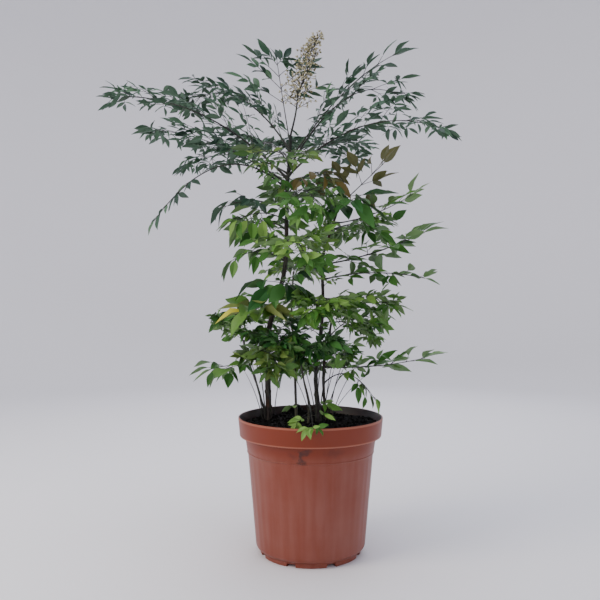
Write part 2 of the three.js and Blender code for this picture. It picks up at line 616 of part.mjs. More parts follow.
/** One compound leaf, grown by rule from its spec. */
class Frond {
  constructor(spec, cane, index) {
    this.spec = spec;
    this.cane = cane;
    this.index = index;
    this.habit = index < FLAT_FRONDS ? FLAT : LOOSE;
    const start = cane.pointAt(spec.at);
    const bearing = radians(spec.bearing);
    const offset = vector(spec.reach * Math.cos(bearing), spec.reach * Math.sin(bearing), spec.rise);
    const bow = start.clone().addScaledVector(offset, 0.5);
    bow.z += spec.arch;
    const curve = new THREE.QuadraticBezierCurve3(start, bow, start.clone().add(offset));
    this.rachis = curve.getSpacedPoints(RACHIS.steps); // twigs root on these straight steps
    this.rootRadius = RACHIS.tipRadius + RACHIS.swelling * (spec.reach + spec.span);
    this.solids = [];
  }

  get ownsBough() {
    return this.spec.bough === true;
  }

  /** Share of the rachis at which a bough ends and its mass begins. */
  get boughEnd() {
    return this.ownsBough ? this.spec.bare * RACHIS.boughShare : 0;
  }

  /** The way the bough points at its flat tip. */
  get boughAlong() {
    const before = stepPoint(this.rachis, this.boughEnd - RACHIS.nearest);
    return stepPoint(this.rachis, this.boughEnd).sub(before).normalize();
  }

  radiusAt(share) {
    return this.rootRadius + (RACHIS.tipRadius - this.rootRadius) * share;
  }

  nodeAt(order) {
    const { bare, pairs } = this.spec;
    return bare + (PINNA.lastNode - bare) * (order / pairs) ** PINNA.crowding;
  }

  /** The corners of the rachis between two shares of its length, with its radius at each. */
  stretch(from, to) {
    const inner = this.rachis.map((_, i) => i / RACHIS.steps)
      .filter((share) => share > from + RACHIS.nearest && share < to - RACHIS.nearest);
    const all = [from, ...inner, to];
    return {
      points: all.map((share) => stepPoint(this.rachis, share)),
      radii: all.map((share) => this.radiusAt(share)),
    };
  }

  /** The frame at a share of the rachis: along it, level to its side, and up from its plane. */
  frameAt(share) {
    const along = stepPoint(this.rachis, Math.min(share + RACHIS.nearest, 1))
      .sub(stepPoint(this.rachis, share - RACHIS.nearest)).normalize();
    const side = along.clone().cross(UP).normalize();
    return { along, side, face: side.clone().cross(along) };
  }

  /** The stem of the mass, from its cane or from just past its bough's flat tip. */
  claimStem(space) {
    const { points } = this.stretch(this.boughEnd, 1);
    const root = this.rachis[0];
    const free = pointsAlong(points).filter((point) => point.distanceTo(root) > CLAIM.stemFree);
    space.claim(free, this.spec.name);
  }

  growStem(space) {
    const { points, radii } = this.stretch(this.boughEnd, 1);
    const start = this.ownsBough ? this.boughAlong : undefined;
    if (start) {
      points[0].addScaledVector(start, GAP);
    }
    const frame = this.frameAt(1);
    const twig = { tip: points.at(-1), along: frame.along, face: frame.face };
    const blade = this.leaflet(space, twig, twig.tip, 0, [this.index, this.spec.pairs, 0, 0]);
    this.solids.push(solidFrom(twigGeometry(points, radii, blade, start)));
  }

  /** A pinna at one node: a twig with pairs of leaflets and one at its tip. */
  growPinna(space, order, side) {
    const { spec, habit } = this;
    const keys = [this.index, order, side];
    const node = this.nodeAt(order);
    const frame = this.frameAt(node);
    const outward = order / spec.pairs;
    const length = spec.span * (1 - PINNA.lengthFall * outward)
      * (PINNA.lengthLeast + PINNA.lengthSwing * draw(...keys, 1));
    const angle = radians(PINNA.angle - PINNA.angleFall * outward
      + PINNA.angleSwing * (draw(...keys, 2) - 0.5));
    const lift = PINNA.lift - PINNA.hangShare * spec.hang + habit.twigSwing * (draw(...keys, 3) - 0.5);
    const root = stepPoint(this.rachis, node).addScaledVector(frame.along, side * PINNA.stagger);
    for (const turn of PINNA.turns) {
      const along = frame.along.clone().multiplyScalar(Math.cos(angle))
        .addScaledVector(frame.side, side * Math.sin(angle))
        .addScaledVector(frame.face, lift + turn).normalize();
      const tip = root.clone().addScaledVector(along, length);
      if (space.isFree(pointsAlong([root, tip]).slice(2), spec.name)) {
        space.claim(pointsAlong([root, tip]), spec.name);
        this.dressPinna(space, { root, tip, along, face: frame.face }, outward, keys);
        return;
      }
    }
  }

  /** The twig of a pinna with the leaflet at its tip, and its pairs of side leaflets. */
  dressPinna(space, twig, outward, keys) {
    const end = this.leaflet(space, twig, twig.tip, 0, [...keys, 0]);
    const radii = [PINNA.rootRadius, PINNA.tipRadius];
    this.solids.push(solidFrom(twigGeometry([twig.root, twig.tip], radii, end)));
    const pairs = Math.floor(this.spec.spray * (1 - PINNA.sprayFall * outward) + 1e-6);
    for (let pair = 0; pair < pairs; pair += 1) {
      const place = PINNA.outerPair - (PINNA.pairStretch / pairs) * pair;
      const spot = twig.root.clone().lerp(twig.tip, place);
      for (const side of [1, -1]) {
        const blade = this.leaflet(space, twig, spot, side, [...keys, pair + 1]);
        if (blade) {
          this.solids.push(solidFrom(bladeGeometry(blade)));
        }
      }
    }
  }

  /**
   * A leaflet's blade at a spot on a twig, turned aside where its space is taken, or undefined
   * where none is free. Its side is 1 or -1, or 0 at the twig's tip.
   */
  leaflet(space, twig, spot, side, keys) {
    const { spec, habit } = this;
    const { face } = twig;
    const across = face.clone().cross(twig.along).normalize();
    const angle = radians(side * LEAF.spread + LEAF.spreadSwing * (draw(...keys, side, 1) - 0.5));
    const length = spec.leaf * (side === 0 ? LEAF.tipLonger : 1)
      * (LEAF.lengthLeast + LEAF.lengthSwing * draw(...keys, side, 2));
    const droop = spec.hang + habit.leafSwing * (draw(...keys, side, 3) - 0.5);
    const roll = radians(habit.roll * 2 * (draw(...keys, side, 4) - 0.5));
    const root = spot.clone().addScaledVector(across, side * LEAF.sunk)
      .addScaledVector(twig.along, side * PINNA.stagger);
    for (const turn of LEAF.turns) {
      const along = twig.along.clone().multiplyScalar(Math.cos(angle))
        .addScaledVector(across, Math.sin(angle))
        .addScaledVector(UP, turn - droop).normalize();
      const wide = face.clone().cross(along).normalize().applyAxisAngle(along, roll);
      const blade = {
        root, along, across: wide, face: along.clone().cross(wide), length,
        width: length * LEAF.slimness, keel: LEAF.thickness,
      };
      if (space.isFree(pointsOnBlade(blade), spec.name)) {
        space.claim(pointsOnBlade(blade), spec.name);
        return blade;
      }
    }
    return undefined;
  }

  growFoliage(space) {
    this.growStem(space);
    for (let order = 0; order < this.spec.pairs; order += 1) {
      this.growPinna(space, order, 1);
      this.growPinna(space, order, -1);
    }
  }

  boughMesh() {
    const { points, radii } = this.stretch(0, this.boughEnd);
    const limb = solidFrom(limbGeometry(points, radii, RACHIS.boughSides, { end: this.boughAlong }));
    const cut = largestBody(limb.subtract(this.cane.solid(GAP)));
    const material = new THREE.MeshStandardMaterial({ color: '#4d4a3c', roughness: 0.7, metalness: 0 });
    return meshFrom(cut, this.spec.name.replace('frond', 'bough'), material);
  }

  mesh() {
    let solid = joined(this.solids);
    if (!this.ownsBough) {
      solid = largestBody(solid.subtract(this.cane.solid(GAP)));
    }
    const color = TONES[this.spec.tone];
    const material = new THREE.MeshStandardMaterial({ color, roughness: 0.6, metalness: 0 });
    return meshFrom(solid, this.spec.name, material);
  }
}

// ---------------------------------------------------------------- flower panicle

/** A bud: a short thick blade. */
function budBlade(root, along) {
  const across = UP.clone().cross(along).normalize();
  return {
    root, along, across, face: along.clone().cross(across),
    length: PANICLE.budLength, width: PANICLE.budWidth, keel: PANICLE.budWidth,
  };
}

/** The upright flower head: a stem with branches turned round it, each set with small buds. */
function growPanicle(space, cane) {
  const foot = cane.points.at(-1).clone().addScaledVector(cane.tipAlong, GAP);
  const knots = [foot, ...PANICLE.knots.map((knot) => vector(...knot))];
  const points = new THREE.CatmullRomCurve3(knots, false, 'centripetal').getSpacedPoints(PANICLE.steps);
  const taper = (PANICLE.tipRadius - PANICLE.stemRadius) / PANICLE.steps;
  const radii = points.map((_, i) => PANICLE.stemRadius + taper * i);
  const solids = [solidFrom(limbGeometry(points, radii, 4, { start: cane.tipAlong }))];
  space.claim(pointsAlong(points.slice(1)), PANICLE.name);
  for (let n = 0; n < PANICLE.branches; n += 1) {
    const share = n / (PANICLE.branches - 1);
    const place = PANICLE.firstBranch + (PANICLE.lastBranch - PANICLE.firstBranch) * share;
    const length = PANICLE.longest * (1 - PANICLE.lengthFall * share)
      * (PANICLE.lengthLeast + PANICLE.lengthSwing * draw(PANICLE.key, n, 1));
    const angle = radians(PANICLE.turn * n);
    const lift = PANICLE.lift + PANICLE.liftSwing * draw(PANICLE.key, n, 2);
    const along = vector(Math.cos(angle), Math.sin(angle), lift).normalize();
    const root = stepPoint(points, place);
    const tip = root.clone().addScaledVector(along, length);
    const radiiAlong = [PANICLE.branchRadius, PANICLE.branchTipRadius];
    solids.push(solidFrom(twigGeometry([root, tip], radiiAlong, budBlade(tip, along))));
    const end = tip.clone().addScaledVector(along, PANICLE.budLength);
    space.claim(pointsAlong([root, end]), PANICLE.name);
    for (let k = 1; k <= PANICLE.buds; k += 1) {
      const turn = radians(k % 2 === 0 ? PANICLE.budTurn : -PANICLE.budTurn);
      const spot = root.clone().lerp(tip, k / PANICLE.budStretch);
      const blade = budBlade(spot, along.clone().applyAxisAngle(UP, turn).normalize());
      solids.push(solidFrom(bladeGeometry(blade)));
      space.claim(pointsAlong([blade.root, bladeTip(blade)]), PANICLE.name);
    }
  }
  return solids;
}

/** The point at a share of a chain of straight steps of equal length. */
function stepPoint(points, share) {
  const place = share * (points.length - 1);
  const i = Math.min(Math.floor(place), points.length - 2);
  return points[i].clone().lerp(points[i + 1], place - i);
}

// ---------------------------------------------------------------- the whole plant

const plant = new THREE.Group();
plant.name = 'heavenly_bamboo';
plant.add(potMesh(), compostMesh());

const space = new Space();
const canes = new Map(CANES.map((spec) => [spec.name, new Cane(spec)]));
for (const cane of canes.values()) {
  plant.add(cane.mesh());
  space.claim(pointsAlong(cane.points), cane.name);
}

const panicleSolids = growPanicle(space, canes.get('cane_tall'));
const fronds = FRONDS.map((spec, index) => new Frond(spec, canes.get(spec.cane), index));
for (const frond of fronds) {
  if (frond.ownsBough) {
    plant.add(frond.boughMesh());
    space.claim(pointsAlong(frond.stretch(0, frond.boughEnd).points), frond.spec.name);
  }
  frond.claimStem(space);
}
for (const frond of fronds) {
  frond.growFoliage(space);
  plant.add(frond.mesh());
}
const blossom = new THREE.MeshStandardMaterial({ color: '#d8cfae', roughness: 0.8, metalness: 0 });
plant.add(meshFrom(joined(panicleSolids), PANICLE.name, blossom));

export default plant;
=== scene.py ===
"""A heavenly bamboo (Nandina domestica) growing in its moulded plastic nursery pot.

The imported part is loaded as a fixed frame, and finer pieces take the place of its solids: a smooth
pot, crumbly compost, canes with the relief of their bark, and fronds that grow on from the canes
by one seeded rule down to single leaflets.

Lengths are millimetres in the frame's own axes: +Z up, seen from the front along +Y, with the
origin under the pot. Shape.build turns them to Blender's metres. A bearing is an angle in degrees
in plan: 0 is +X (right), 90 is +Y (back), 180 is -X (left) and 270 is -Y (front).
"""

import logging
import math
from dataclasses import dataclass, field
from enum import Enum, IntEnum

import bpy
import numpy as np
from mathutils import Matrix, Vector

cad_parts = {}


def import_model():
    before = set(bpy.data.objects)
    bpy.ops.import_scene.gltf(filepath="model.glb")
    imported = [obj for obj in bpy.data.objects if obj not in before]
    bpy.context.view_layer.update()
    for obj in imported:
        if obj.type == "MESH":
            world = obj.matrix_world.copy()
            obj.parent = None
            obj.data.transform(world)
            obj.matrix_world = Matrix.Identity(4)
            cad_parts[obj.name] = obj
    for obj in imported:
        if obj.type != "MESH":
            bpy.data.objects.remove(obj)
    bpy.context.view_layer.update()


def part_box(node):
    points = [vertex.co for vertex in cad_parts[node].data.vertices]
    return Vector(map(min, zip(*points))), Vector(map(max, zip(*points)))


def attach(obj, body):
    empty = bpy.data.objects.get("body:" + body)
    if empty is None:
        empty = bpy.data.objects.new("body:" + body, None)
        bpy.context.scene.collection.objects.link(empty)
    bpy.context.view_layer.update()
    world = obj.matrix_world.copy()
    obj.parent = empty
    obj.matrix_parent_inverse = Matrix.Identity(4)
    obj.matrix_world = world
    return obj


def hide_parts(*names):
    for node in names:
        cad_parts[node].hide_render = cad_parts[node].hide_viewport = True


Array = np.ndarray
Material = bpy.types.Material
Output = bpy.types.NodeSocket
Point = tuple[float, float, float]

MM = 0.001
UP = np.array([0.0, 0.0, 1.0])
BACK = np.array([0.0, 1.0, 0.0])
LEAF_TURN = 137.5
BODY = "root"
HASH_START, HASH_STEP, HASH_STIR = 2166136261, 16777619, 1540483477
LEAST_KEY = -128
LATTICE_SHIFT = 1000
log = logging.getLogger("heavenly_bamboo")


# ---- numbers and paths


def unit(vectors: Array) -> Array:
    """Vectors along the last axis, scaled to length 1."""
    return vectors / np.maximum(np.linalg.norm(vectors, axis=-1, keepdims=True), 1e-12)


def turns(count: int) -> Array:
    """Angles of so many corners, spread evenly round a circle."""
    return np.linspace(0, 2 * np.pi, count, endpoint=False)


def turned(a: Array, b: Array, angles: Array) -> Array:
    """The vectors a cos q + b sin q for each angle q."""
    return np.cos(angles)[..., None] * a + np.sin(angles)[..., None] * b


def rolled(wide: Array, along: Array, degrees: float) -> Array:
    """A vector turned by some degrees round the unit vector that it is square to."""
    roll = math.radians(degrees)
    return wide * math.cos(roll) + np.cross(along, wide) * math.sin(roll)


def draw(*keys: int | Array) -> Array:
    """Seeded random numbers that depend only on their keys.

    Each key is mixed into a 32-bit state by xor, multiplication and shifts.

    Args:
        keys: whole numbers from LEAST_KEY up, or arrays of them that broadcast together.

    Returns:
        Numbers in [0, 1), of the keys' broadcast shape.
    """
    arrays = np.broadcast_arrays(*[np.atleast_1d(np.asarray(key, np.int64)) for key in keys])
    state = np.full(arrays[0].shape, HASH_START, np.uint32)
    for key in arrays:
        state = (state ^ (key - LEAST_KEY).astype(np.uint32)) * np.uint32(HASH_STEP)
        state = (state ^ (state >> np.uint32(13))) * np.uint32(HASH_STIR)
        state = state ^ (state >> np.uint32(15))
    return state / 2.0**32


def one(*keys: int) -> float:
    """A single seeded random number in [0, 1)."""
    return float(draw(*keys)[0])


def sway(width: float, *keys: int) -> float:
    """A seeded random number in a span of this width round 0."""
    return width * (one(*keys) - 0.5)


def lattice_noise(points: Array, cell: float, key: int) -> Array:
    """Smooth noise: random values on a cubic lattice, blended between its corners.

    The blend in each cell is trilinear on the smoothstep 3t^2 - 2t^3 of the place in the cell.

    Args:
        points: places, of shape (..., 3).
        cell: side of the lattice's cells.
        key: seed.

    Returns:
        Values in [-1, 1], of shape (...).
    """
    scaled = points / cell
    low = np.floor(scaled).astype(np.int64)
    t = scaled - low
    t = t * t * (3 - 2 * t)
    total = np.zeros(points.shape[:-1])
    for corner in range(8):
        step = np.array([corner & 1, corner >> 1 & 1, corner >> 2 & 1])
        weight = np.prod(np.where(step, t, 1 - t), axis=-1)
        at = low + step + LATTICE_SHIFT
        total += weight * draw(key, at[..., 0], at[..., 1], at[..., 2]).reshape(weight.shape)
    return 2 * total - 1


class Path:
    """A curve held as close points, read by the share of its length."""

    def __init__(self, points: Array) -> None:
        """Takes the points of the curve, of shape (count, 3)."""
        self.points = points
        steps = np.linalg.norm(np.diff(points, axis=0), axis=1)
        reached = np.concatenate([[0], np.cumsum(steps)])
        self.length = float(reached[-1])
        self.shares = reached / self.length

    @classmethod
    def through(cls, knots: list[Point], fineness: int = 32) -> "Path":
        """The centripetal Catmull-Rom curve through knots.

        Each span is a cubic Hermite curve. Its tangents come from the neighbouring knots, weighed
        by the square root of the distances between them.

        Args:
            knots: the places that the curve passes.
            fineness: points in each span.

        Returns:
            The curve.
        """
        p = np.asarray(knots, float)
        p = np.vstack([2 * p[0] - p[1], p, 2 * p[-1] - p[-2]])
        gaps = np.sqrt(np.linalg.norm(np.diff(p, axis=0), axis=1))
        x0, x1, x2, x3 = (p[i : len(p) - 3 + i, None] for i in range(4))
        d0, d1, d2 = (gaps[i : len(gaps) - 2 + i, None, None] for i in range(3))
        out = ((x1 - x0) / d0 - (x2 - x0) / (d0 + d1) + (x2 - x1) / d1) * d1
        into = ((x2 - x1) / d1 - (x3 - x1) / (d1 + d2) + (x3 - x2) / d2) * d1
        t = np.linspace(0, 1, fineness, endpoint=False)[None, :, None]
        spans = (
            (2 * t**3 - 3 * t**2 + 1) * x1
            + (t**3 - 2 * t**2 + t) * out
            + (3 * t**2 - 2 * t**3) * x2
            + (t**3 - t**2) * into
        )
        return cls(np.vstack([spans.reshape(-1, 3), p[-2]]))

    @classmethod
    def bow(cls, start: Array, middle: Array, end: Array, fineness: int = 64) -> "Path":
        """The quadratic Bezier curve with these three control points."""
        t = np.linspace(0, 1, fineness)[:, None]
        return cls((1 - t) ** 2 * start + 2 * t * (1 - t) * middle + t**2 * end)

    def at(self, share: float | Array) -> Array:
        """The points at these shares of the length."""
        return np.stack([np.interp(share, self.shares, self.points[:, i]) for i in range(3)], axis=-1)

    def at_height(self, height: float) -> Array:
        """The point at a height, on a curve that only rises."""
        return np.array([np.interp(height, self.points[:, 2], self.points[:, i]) for i in range(3)])

    def along(self, share: float, reach: float = 0.03) -> Array:
        """The curve's direction at a share of its length."""
        return unit(self.at(min(share + reach, 1)) - self.at(max(share - reach, 0)))


# ---- meshes


def add_object(name: str, data: bpy.types.ID) -> bpy.types.Object:
    """A new object of some data, linked to the scene at its origin."""
    thing = bpy.data.objects.new(name, data)
    bpy.context.scene.collection.objects.link(thing)
    return thing


@dataclass
class Shape:
    """Closed bodies in one mesh.

    Attributes:
        points: corners, of shape (count, 3).
        quads: faces of four corners.
        triangles: faces of three corners.
        slots: each face's place in the list of materials, the quads' first.
    """

    points: Array
    quads: Array
    triangles: Array
    slots: Array

    @classmethod
    def skin(cls, rings: Array, starts: Array, ends: Array, strips: Array | None = None) -> "Shape":
        """Bodies lofted through rings of points, each closed by a pole at either end.

        The rings run anticlockwise seen from the end pole, so that the faces point outwards. The
        quads of a ring's second half start one corner later, so that the two faces of a thin blade
        split along the same diagonals and don't cut through each other.

        Args:
            rings: of shape (bodies, rings, sides, 3).
            starts: the poles before the first rings, of shape (bodies, 3).
            ends: the poles after the last rings, of shape (bodies, 3).
            strips: material of each strip between two sides, of shape (bodies, sides).

        Returns:
            All the bodies as one shape.
        """
        bodies, levels, sides = rings.shape[:3]
        size = levels * sides + 2
        flat = rings.reshape(bodies, levels * sides, 3)
        points = np.concatenate([starts[:, None], flat, ends[:, None]], axis=1).reshape(-1, 3)
        here = 1 + np.arange(levels * sides).reshape(levels, sides)
        beside = np.roll(here, -1, axis=1)
        quads = np.stack([here[:-1], beside[:-1], beside[1:], here[1:]], axis=-1)
        quads[:, sides // 2 :] = np.roll(quads[:, sides // 2 :], 1, axis=-1)
        first = np.stack([np.zeros(sides, int), beside[0], here[0]], axis=-1)
        last = np.stack([np.full(sides, size - 1), here[-1], beside[-1]], axis=-1)
        base = (np.arange(bodies) * size)[:, None, None]
        if strips is None:
            strips = np.zeros((bodies, sides), int)
        around, poles = (np.repeat(strips[:, None], count, axis=1).ravel() for count in (levels - 1, 2))
        return cls(
            points,
            (quads.reshape(-1, 4)[None] + base).reshape(-1, 4),
            (np.concatenate([first, last])[None] + base).reshape(-1, 3),
            np.concatenate([around, poles]),
        )

    @classmethod
    def tubes(cls, axes: Array, radii: Array, sides: int, steep: float = 0.8, dome: float = 0.5) -> "Shape":
        """Round tubes with domed ends.

        Each ring is the circle c + r (a cos q + b sin q) round a point c of the axis, where a and b
        are square to the axis there.

        Args:
            axes: the tubes' axes, of shape (bodies, points, 3).
            radii: of shape (bodies, points).
            sides: corners in each ring.
            steep: rise of a chord of length 1 above which a is square to +Y and not to +Z.
            dome: height of the end poles as a share of the radius.

        Returns:
            The tubes as one shape.
        """
        along = unit(np.gradient(axes, axis=1))
        rise = np.abs(unit(axes[:, -1] - axes[:, 0])[:, 2:])
        reference = np.where(rise > steep, BACK, UP)[:, None]
        a = unit(np.cross(np.broadcast_to(reference, along.shape), along))
        b = np.cross(along, a)
        circle = turned(a[:, :, None], b[:, :, None], turns(sides))
        rings = axes[:, :, None] + radii[:, :, None, None] * circle
        starts = axes[:, 0] - dome * radii[:, :1] * along[:, 0]
        ends = axes[:, -1] + dome * radii[:, -1:] * along[:, -1]
        return cls.skin(rings, starts, ends)

    @classmethod
    def tube(cls, axis: Path, shares: Array, radii: Array, sides: int) -> "Shape":
        """One tube along a path, with its radius at each of some shares of the path's length."""
        return cls.tubes(axis.at(shares)[None], radii[None], sides)

    @classmethod
    def join(cls, shapes: list["Shape"]) -> "Shape":
        """Several shapes as one, with the quads of all before their triangles."""
        offsets = np.cumsum([0] + [len(shape.points) for shape in shapes[:-1]])
        pairs = list(zip(shapes, offsets))
        return cls(
            np.concatenate([shape.points for shape in shapes]),
            np.concatenate([shape.quads + offset for shape, offset in pairs]),
            np.concatenate([shape.triangles + offset for shape, offset in pairs]),
            np.concatenate(
                [shape.slots[: len(shape.quads)] for shape in shapes]
                + [shape.slots[len(shape.quads) :] for shape in shapes]
            ),
        )

    def build(self, name: str, materials: list[Material], crease: float = 40) -> bpy.types.Object:
        """Puts the shape into a new object at the origin.

        Args:
            name: the object's name.
            materials: its materials, in the order that `slots` counts them.
            crease: edges between faces that turn by more than this many degrees stay sharp.

        Returns:
            The object, linked to the scene.
        """
        mesh = bpy.data.meshes.new(name)
        mesh.vertices.add(len(self.points))
        mesh.vertices.foreach_set("co", (self.points * MM).astype(np.float32).ravel())
        corners = np.concatenate([self.quads.ravel(), self.triangles.ravel()])
        mesh.loops.add(len(corners))
        mesh.loops.foreach_set("vertex_index", corners.astype(np.int32))
        sizes = np.repeat([4, 3], [len(self.quads), len(self.triangles)])
        mesh.polygons.add(len(sizes))
        starts = np.concatenate([[0], np.cumsum(sizes)[:-1]])
        mesh.polygons.foreach_set("loop_start", starts.astype(np.int32))
        mesh.update(calc_edges=True)
        mesh.polygons.foreach_set("material_index", self.slots.astype(np.int32))
        mesh.shade_smooth()
        mesh.set_sharp_from_angle(angle=math.radians(crease))
        for material in materials:
            mesh.materials.append(material)
        return add_object(name, mesh)


def place(piece: bpy.types.Object, nodes: list[str]) -> None:
    """Makes a piece ride on the part, and hides the solids whose place it takes.

    Args:
        piece: the finished object.
        nodes: the solids whose place it takes.
    """
    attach(piece, BODY)
    if nodes:
        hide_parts(*nodes)
    log.info("%s: %d faces", piece.name, len(piece.data.polygons))


# ---- finishes


def linear(colour: str) -> tuple[float, float, float, float]:
    """An sRGB hex colour as linear red, green, blue and alpha."""
    values = [int(colour[i : i + 2], 16) / 255 for i in (1, 3, 5)]
    red, green, blue = (v / 12.92 if v <= 0.04045 else ((v + 0.055) / 1.055) ** 2.4 for v in values)
    return (red, green, blue, 1.0)


def per_metre(size: float) -> float:
    """The scale that gives a pattern features of a size in millimetres on Object coordinates."""
    return 1 / (size * MM)


class MixSocket(IntEnum):
    """Places of a colour Mix node's sockets."""

    FACTOR = 0
    FIRST = 6
    SECOND = 7
    RESULT = 2


class Nodes:
    """The nodes of one material. `place` is the output of the object's own coordinates."""

    def __init__(self, tree: bpy.types.NodeTree) -> None:
        """Takes a new material's tree."""
        self.tree = tree
        self.place = self.add("TexCoord", {}, "Object")

    def add(self, kind: str, sockets: dict, output: str | int, **settings: object) -> Output:
        """Adds a node with its settings, its sockets' values and its links.

        Args:
            kind: the node's type, without the prefix that all of them share.
            sockets: for each input, by name or place, its value or the output that feeds it.
            output: name or place of the output that is wanted.
            settings: the node's own properties.

        Returns:
            That output of the new node.
        """
        node = self.tree.nodes.new("ShaderNode" + kind)
        for key, value in settings.items():
            setattr(node, key, value)
        for key, value in sockets.items():
            if isinstance(value, Output):
                self.tree.links.new(value, node.inputs[key])
            else:
                node.inputs[key].default_value = value
        return node.outputs[output]


@dataclass(frozen=True)
class Layer:
    """A colour over those below it.

    Attributes:
        colour: the colour.
        value: the output that says where it lies.
        bare: the value at which none of it shows.
        full: the value at which the most of it shows.
        most: the share that shows there.
    """

    colour: str
    value: Output
    bare: float = 0.0
    full: float = 1.0
    most: float = 1.0


@dataclass(frozen=True)
class Dressing:
    """A finish's layers of colour, and the outputs that drive its gloss and its relief."""

    layers: list[Layer]
    gloss: Output
    relief: Output | None = None


@dataclass(frozen=True)
class Finish:
    """A dielectric finish: what every one of them has.

    Attributes:
        name: the real material and how its surface was made.
        colour: its main colour.
        roughness: its mean roughness.
        ior: its index of refraction.
        swing: how far the roughness goes to either side of its mean.
        depth: depth of its relief.
    """

    name: str
    colour: str
    roughness: float
    ior: float = 1.45
    swing: float = 0.1
    depth: float = 0

    def material(self) -> Material:
        """The finish as a material, made once.

        Returns:
            The material: the layers mixed in their order, the roughness swung by the gloss and the
            normals bumped by the relief.
        """
        found = bpy.data.materials.get(self.name)
        if found is not None:
            return found
        material = bpy.data.materials.new(self.name)
        material.use_nodes = True
        colour = material.diffuse_color = linear(self.colour)
        shader = material.node_tree.nodes["Principled BSDF"]
        for socket, value in {"Base Color": colour, "Roughness": self.roughness, "IOR": self.ior}.items():
            shader.inputs[socket].default_value = value
        nodes = Nodes(material.node_tree)
        dressing = self.dress(nodes)
        low, high = self.roughness - self.swing, self.roughness + self.swing
        ranged = {"Value": dressing.gloss, "To Min": low, "To Max": high}
        feeds = {"Roughness": nodes.add("MapRange", ranged, "Result")}
        for layer in dressing.layers:
            ranged = {"Value": layer.value, "From Min": layer.bare, "From Max": layer.full, "To Max": layer.most}
            share = nodes.add("MapRange", ranged, "Result")
            mixed = {MixSocket.FACTOR: share, MixSocket.FIRST: colour, MixSocket.SECOND: linear(layer.colour)}
            colour = feeds["Base Color"] = nodes.add("Mix", mixed, MixSocket.RESULT, data_type="RGBA")
        if dressing.relief is not None:
            bumped = {"Height": dressing.relief, "Distance": self.depth * MM, "Strength": 1.0}
            feeds["Normal"] = nodes.add("Bump", bumped, "Normal")
        for socket, output in feeds.items():
            nodes.tree.links.new(output, shader.inputs[socket])
        return material

    def dress(self, nodes: Nodes) -> Dressing:
        """The finish's own patterns."""
        raise NotImplementedError


@dataclass(frozen=True)
class Leaflet(Finish):
    """Leathery leaflet: a waxy cuticle, which gives a soft satin sheen, over fine veins.

    The colour is plain, because each spray is dealt its own shade. The pores and veins, a fraction
    of a millimetre apart, are drawn at 1.5 mm so that they show.
    """

    roughness: float = 0.5
    ior: float = 1.3
    swing: float = 0.08
    depth: float = 0.12
    grain: float = 1.5

    def dress(self, nodes: Nodes) -> Dressing:
        """A fine grain in the gloss and the relief."""
        fine = {"Vector": nodes.place, "Scale": per_metre(self.grain), "Detail": 2.0}
        grain = nodes.add("TexNoise", fine, "Fac")
        return Dressing([], grain, grain)


@dataclass(frozen=True)
class Stalk(Finish):
    """Young wood of leaf stalks: smooth, faintly waxy, purple-brown where the sun reaches it."""

    colour: str = "#211f1d"
    roughness: float = 0.55
    depth: float = 0.1
    sunlit: str = "#2f3427"
    patch: float = 30
    grain: float = 2

    def dress(self, nodes: Nodes) -> Dressing:
        """Patches of the two colours, with a fine grain in the gloss and the relief."""
        broad = {"Vector": nodes.place, "Scale": per_metre(self.patch), "Detail": 2.0}
        patch = nodes.add("TexNoise", broad, "Fac")
        grain = nodes.add("TexNoise", {"Vector": nodes.place, "Scale": per_metre(self.grain)}, "Fac")
        return Dressing([Layer(self.sunlit, patch, 0.42, 0.62)], grain, grain)


@dataclass(frozen=True)
class Bark(Finish):
    """Bark of old canes: dull grey-brown cork, split by upright fissures that show darker.

    Above `green_shade_from` the bark turns dark green, nearly all of it from `green_shade_to` on: partly the
    younger bark's own green, and partly painted shade of the crown over the upper cane.
    """

    colour: str = "#3b3431"
    roughness: float = 0.85
    depth: float = 0.9
    fissure: str = "#191514"
    lichen: str = "#4b4f42"
    rust: str = "#4e3226"
    # Dark green of the upper cane: partly young bark, partly painted shade under the crown.
    green: str = "#1d2521"
    green_shade_from: float = 560
    green_shade_to: float = 680
    fissure_width: float = 1.6
    fissure_length: float = 16
    patch: float = 38

    def dress(self, nodes: Nodes) -> Dressing:
        """Noise drawn out along the cane for fissures, over broad patches of lichen and rust.

        Args:
            nodes: the material's nodes.

        Returns:
            The four layers, with the fissures' grain in the gloss and the relief.
        """
        narrow, long = per_metre(self.fissure_width), per_metre(self.fissure_length)
        drawn = nodes.add("Mapping", {"Vector": nodes.place, "Scale": (narrow, narrow, long)}, "Vector")
        upright = {"Vector": drawn, "Scale": 1.0, "Detail": 4.0, "Roughness": 0.6}
        grain = nodes.add("TexNoise", upright, "Fac")
        broad = {"Vector": nodes.place, "Scale": per_metre(self.patch), "Detail": 3.0}
        patch = nodes.add("TexNoise", broad, "Fac")
        height = nodes.add("SeparateXYZ", {"Vector": nodes.place}, "Z")
        layers = [
            Layer(self.lichen, patch, 0.5, 0.68),
            Layer(self.rust, patch, 0.46, 0.32),
            Layer(self.fissure, grain, 0.52, 0.36),
            # Darker green up the cane: partly young bark, partly painted shade under the crown.
            Layer(self.green, height, self.green_shade_from * MM, self.green_shade_to * MM, 0.8),
        ]
        return Dressing(layers, grain, grain)


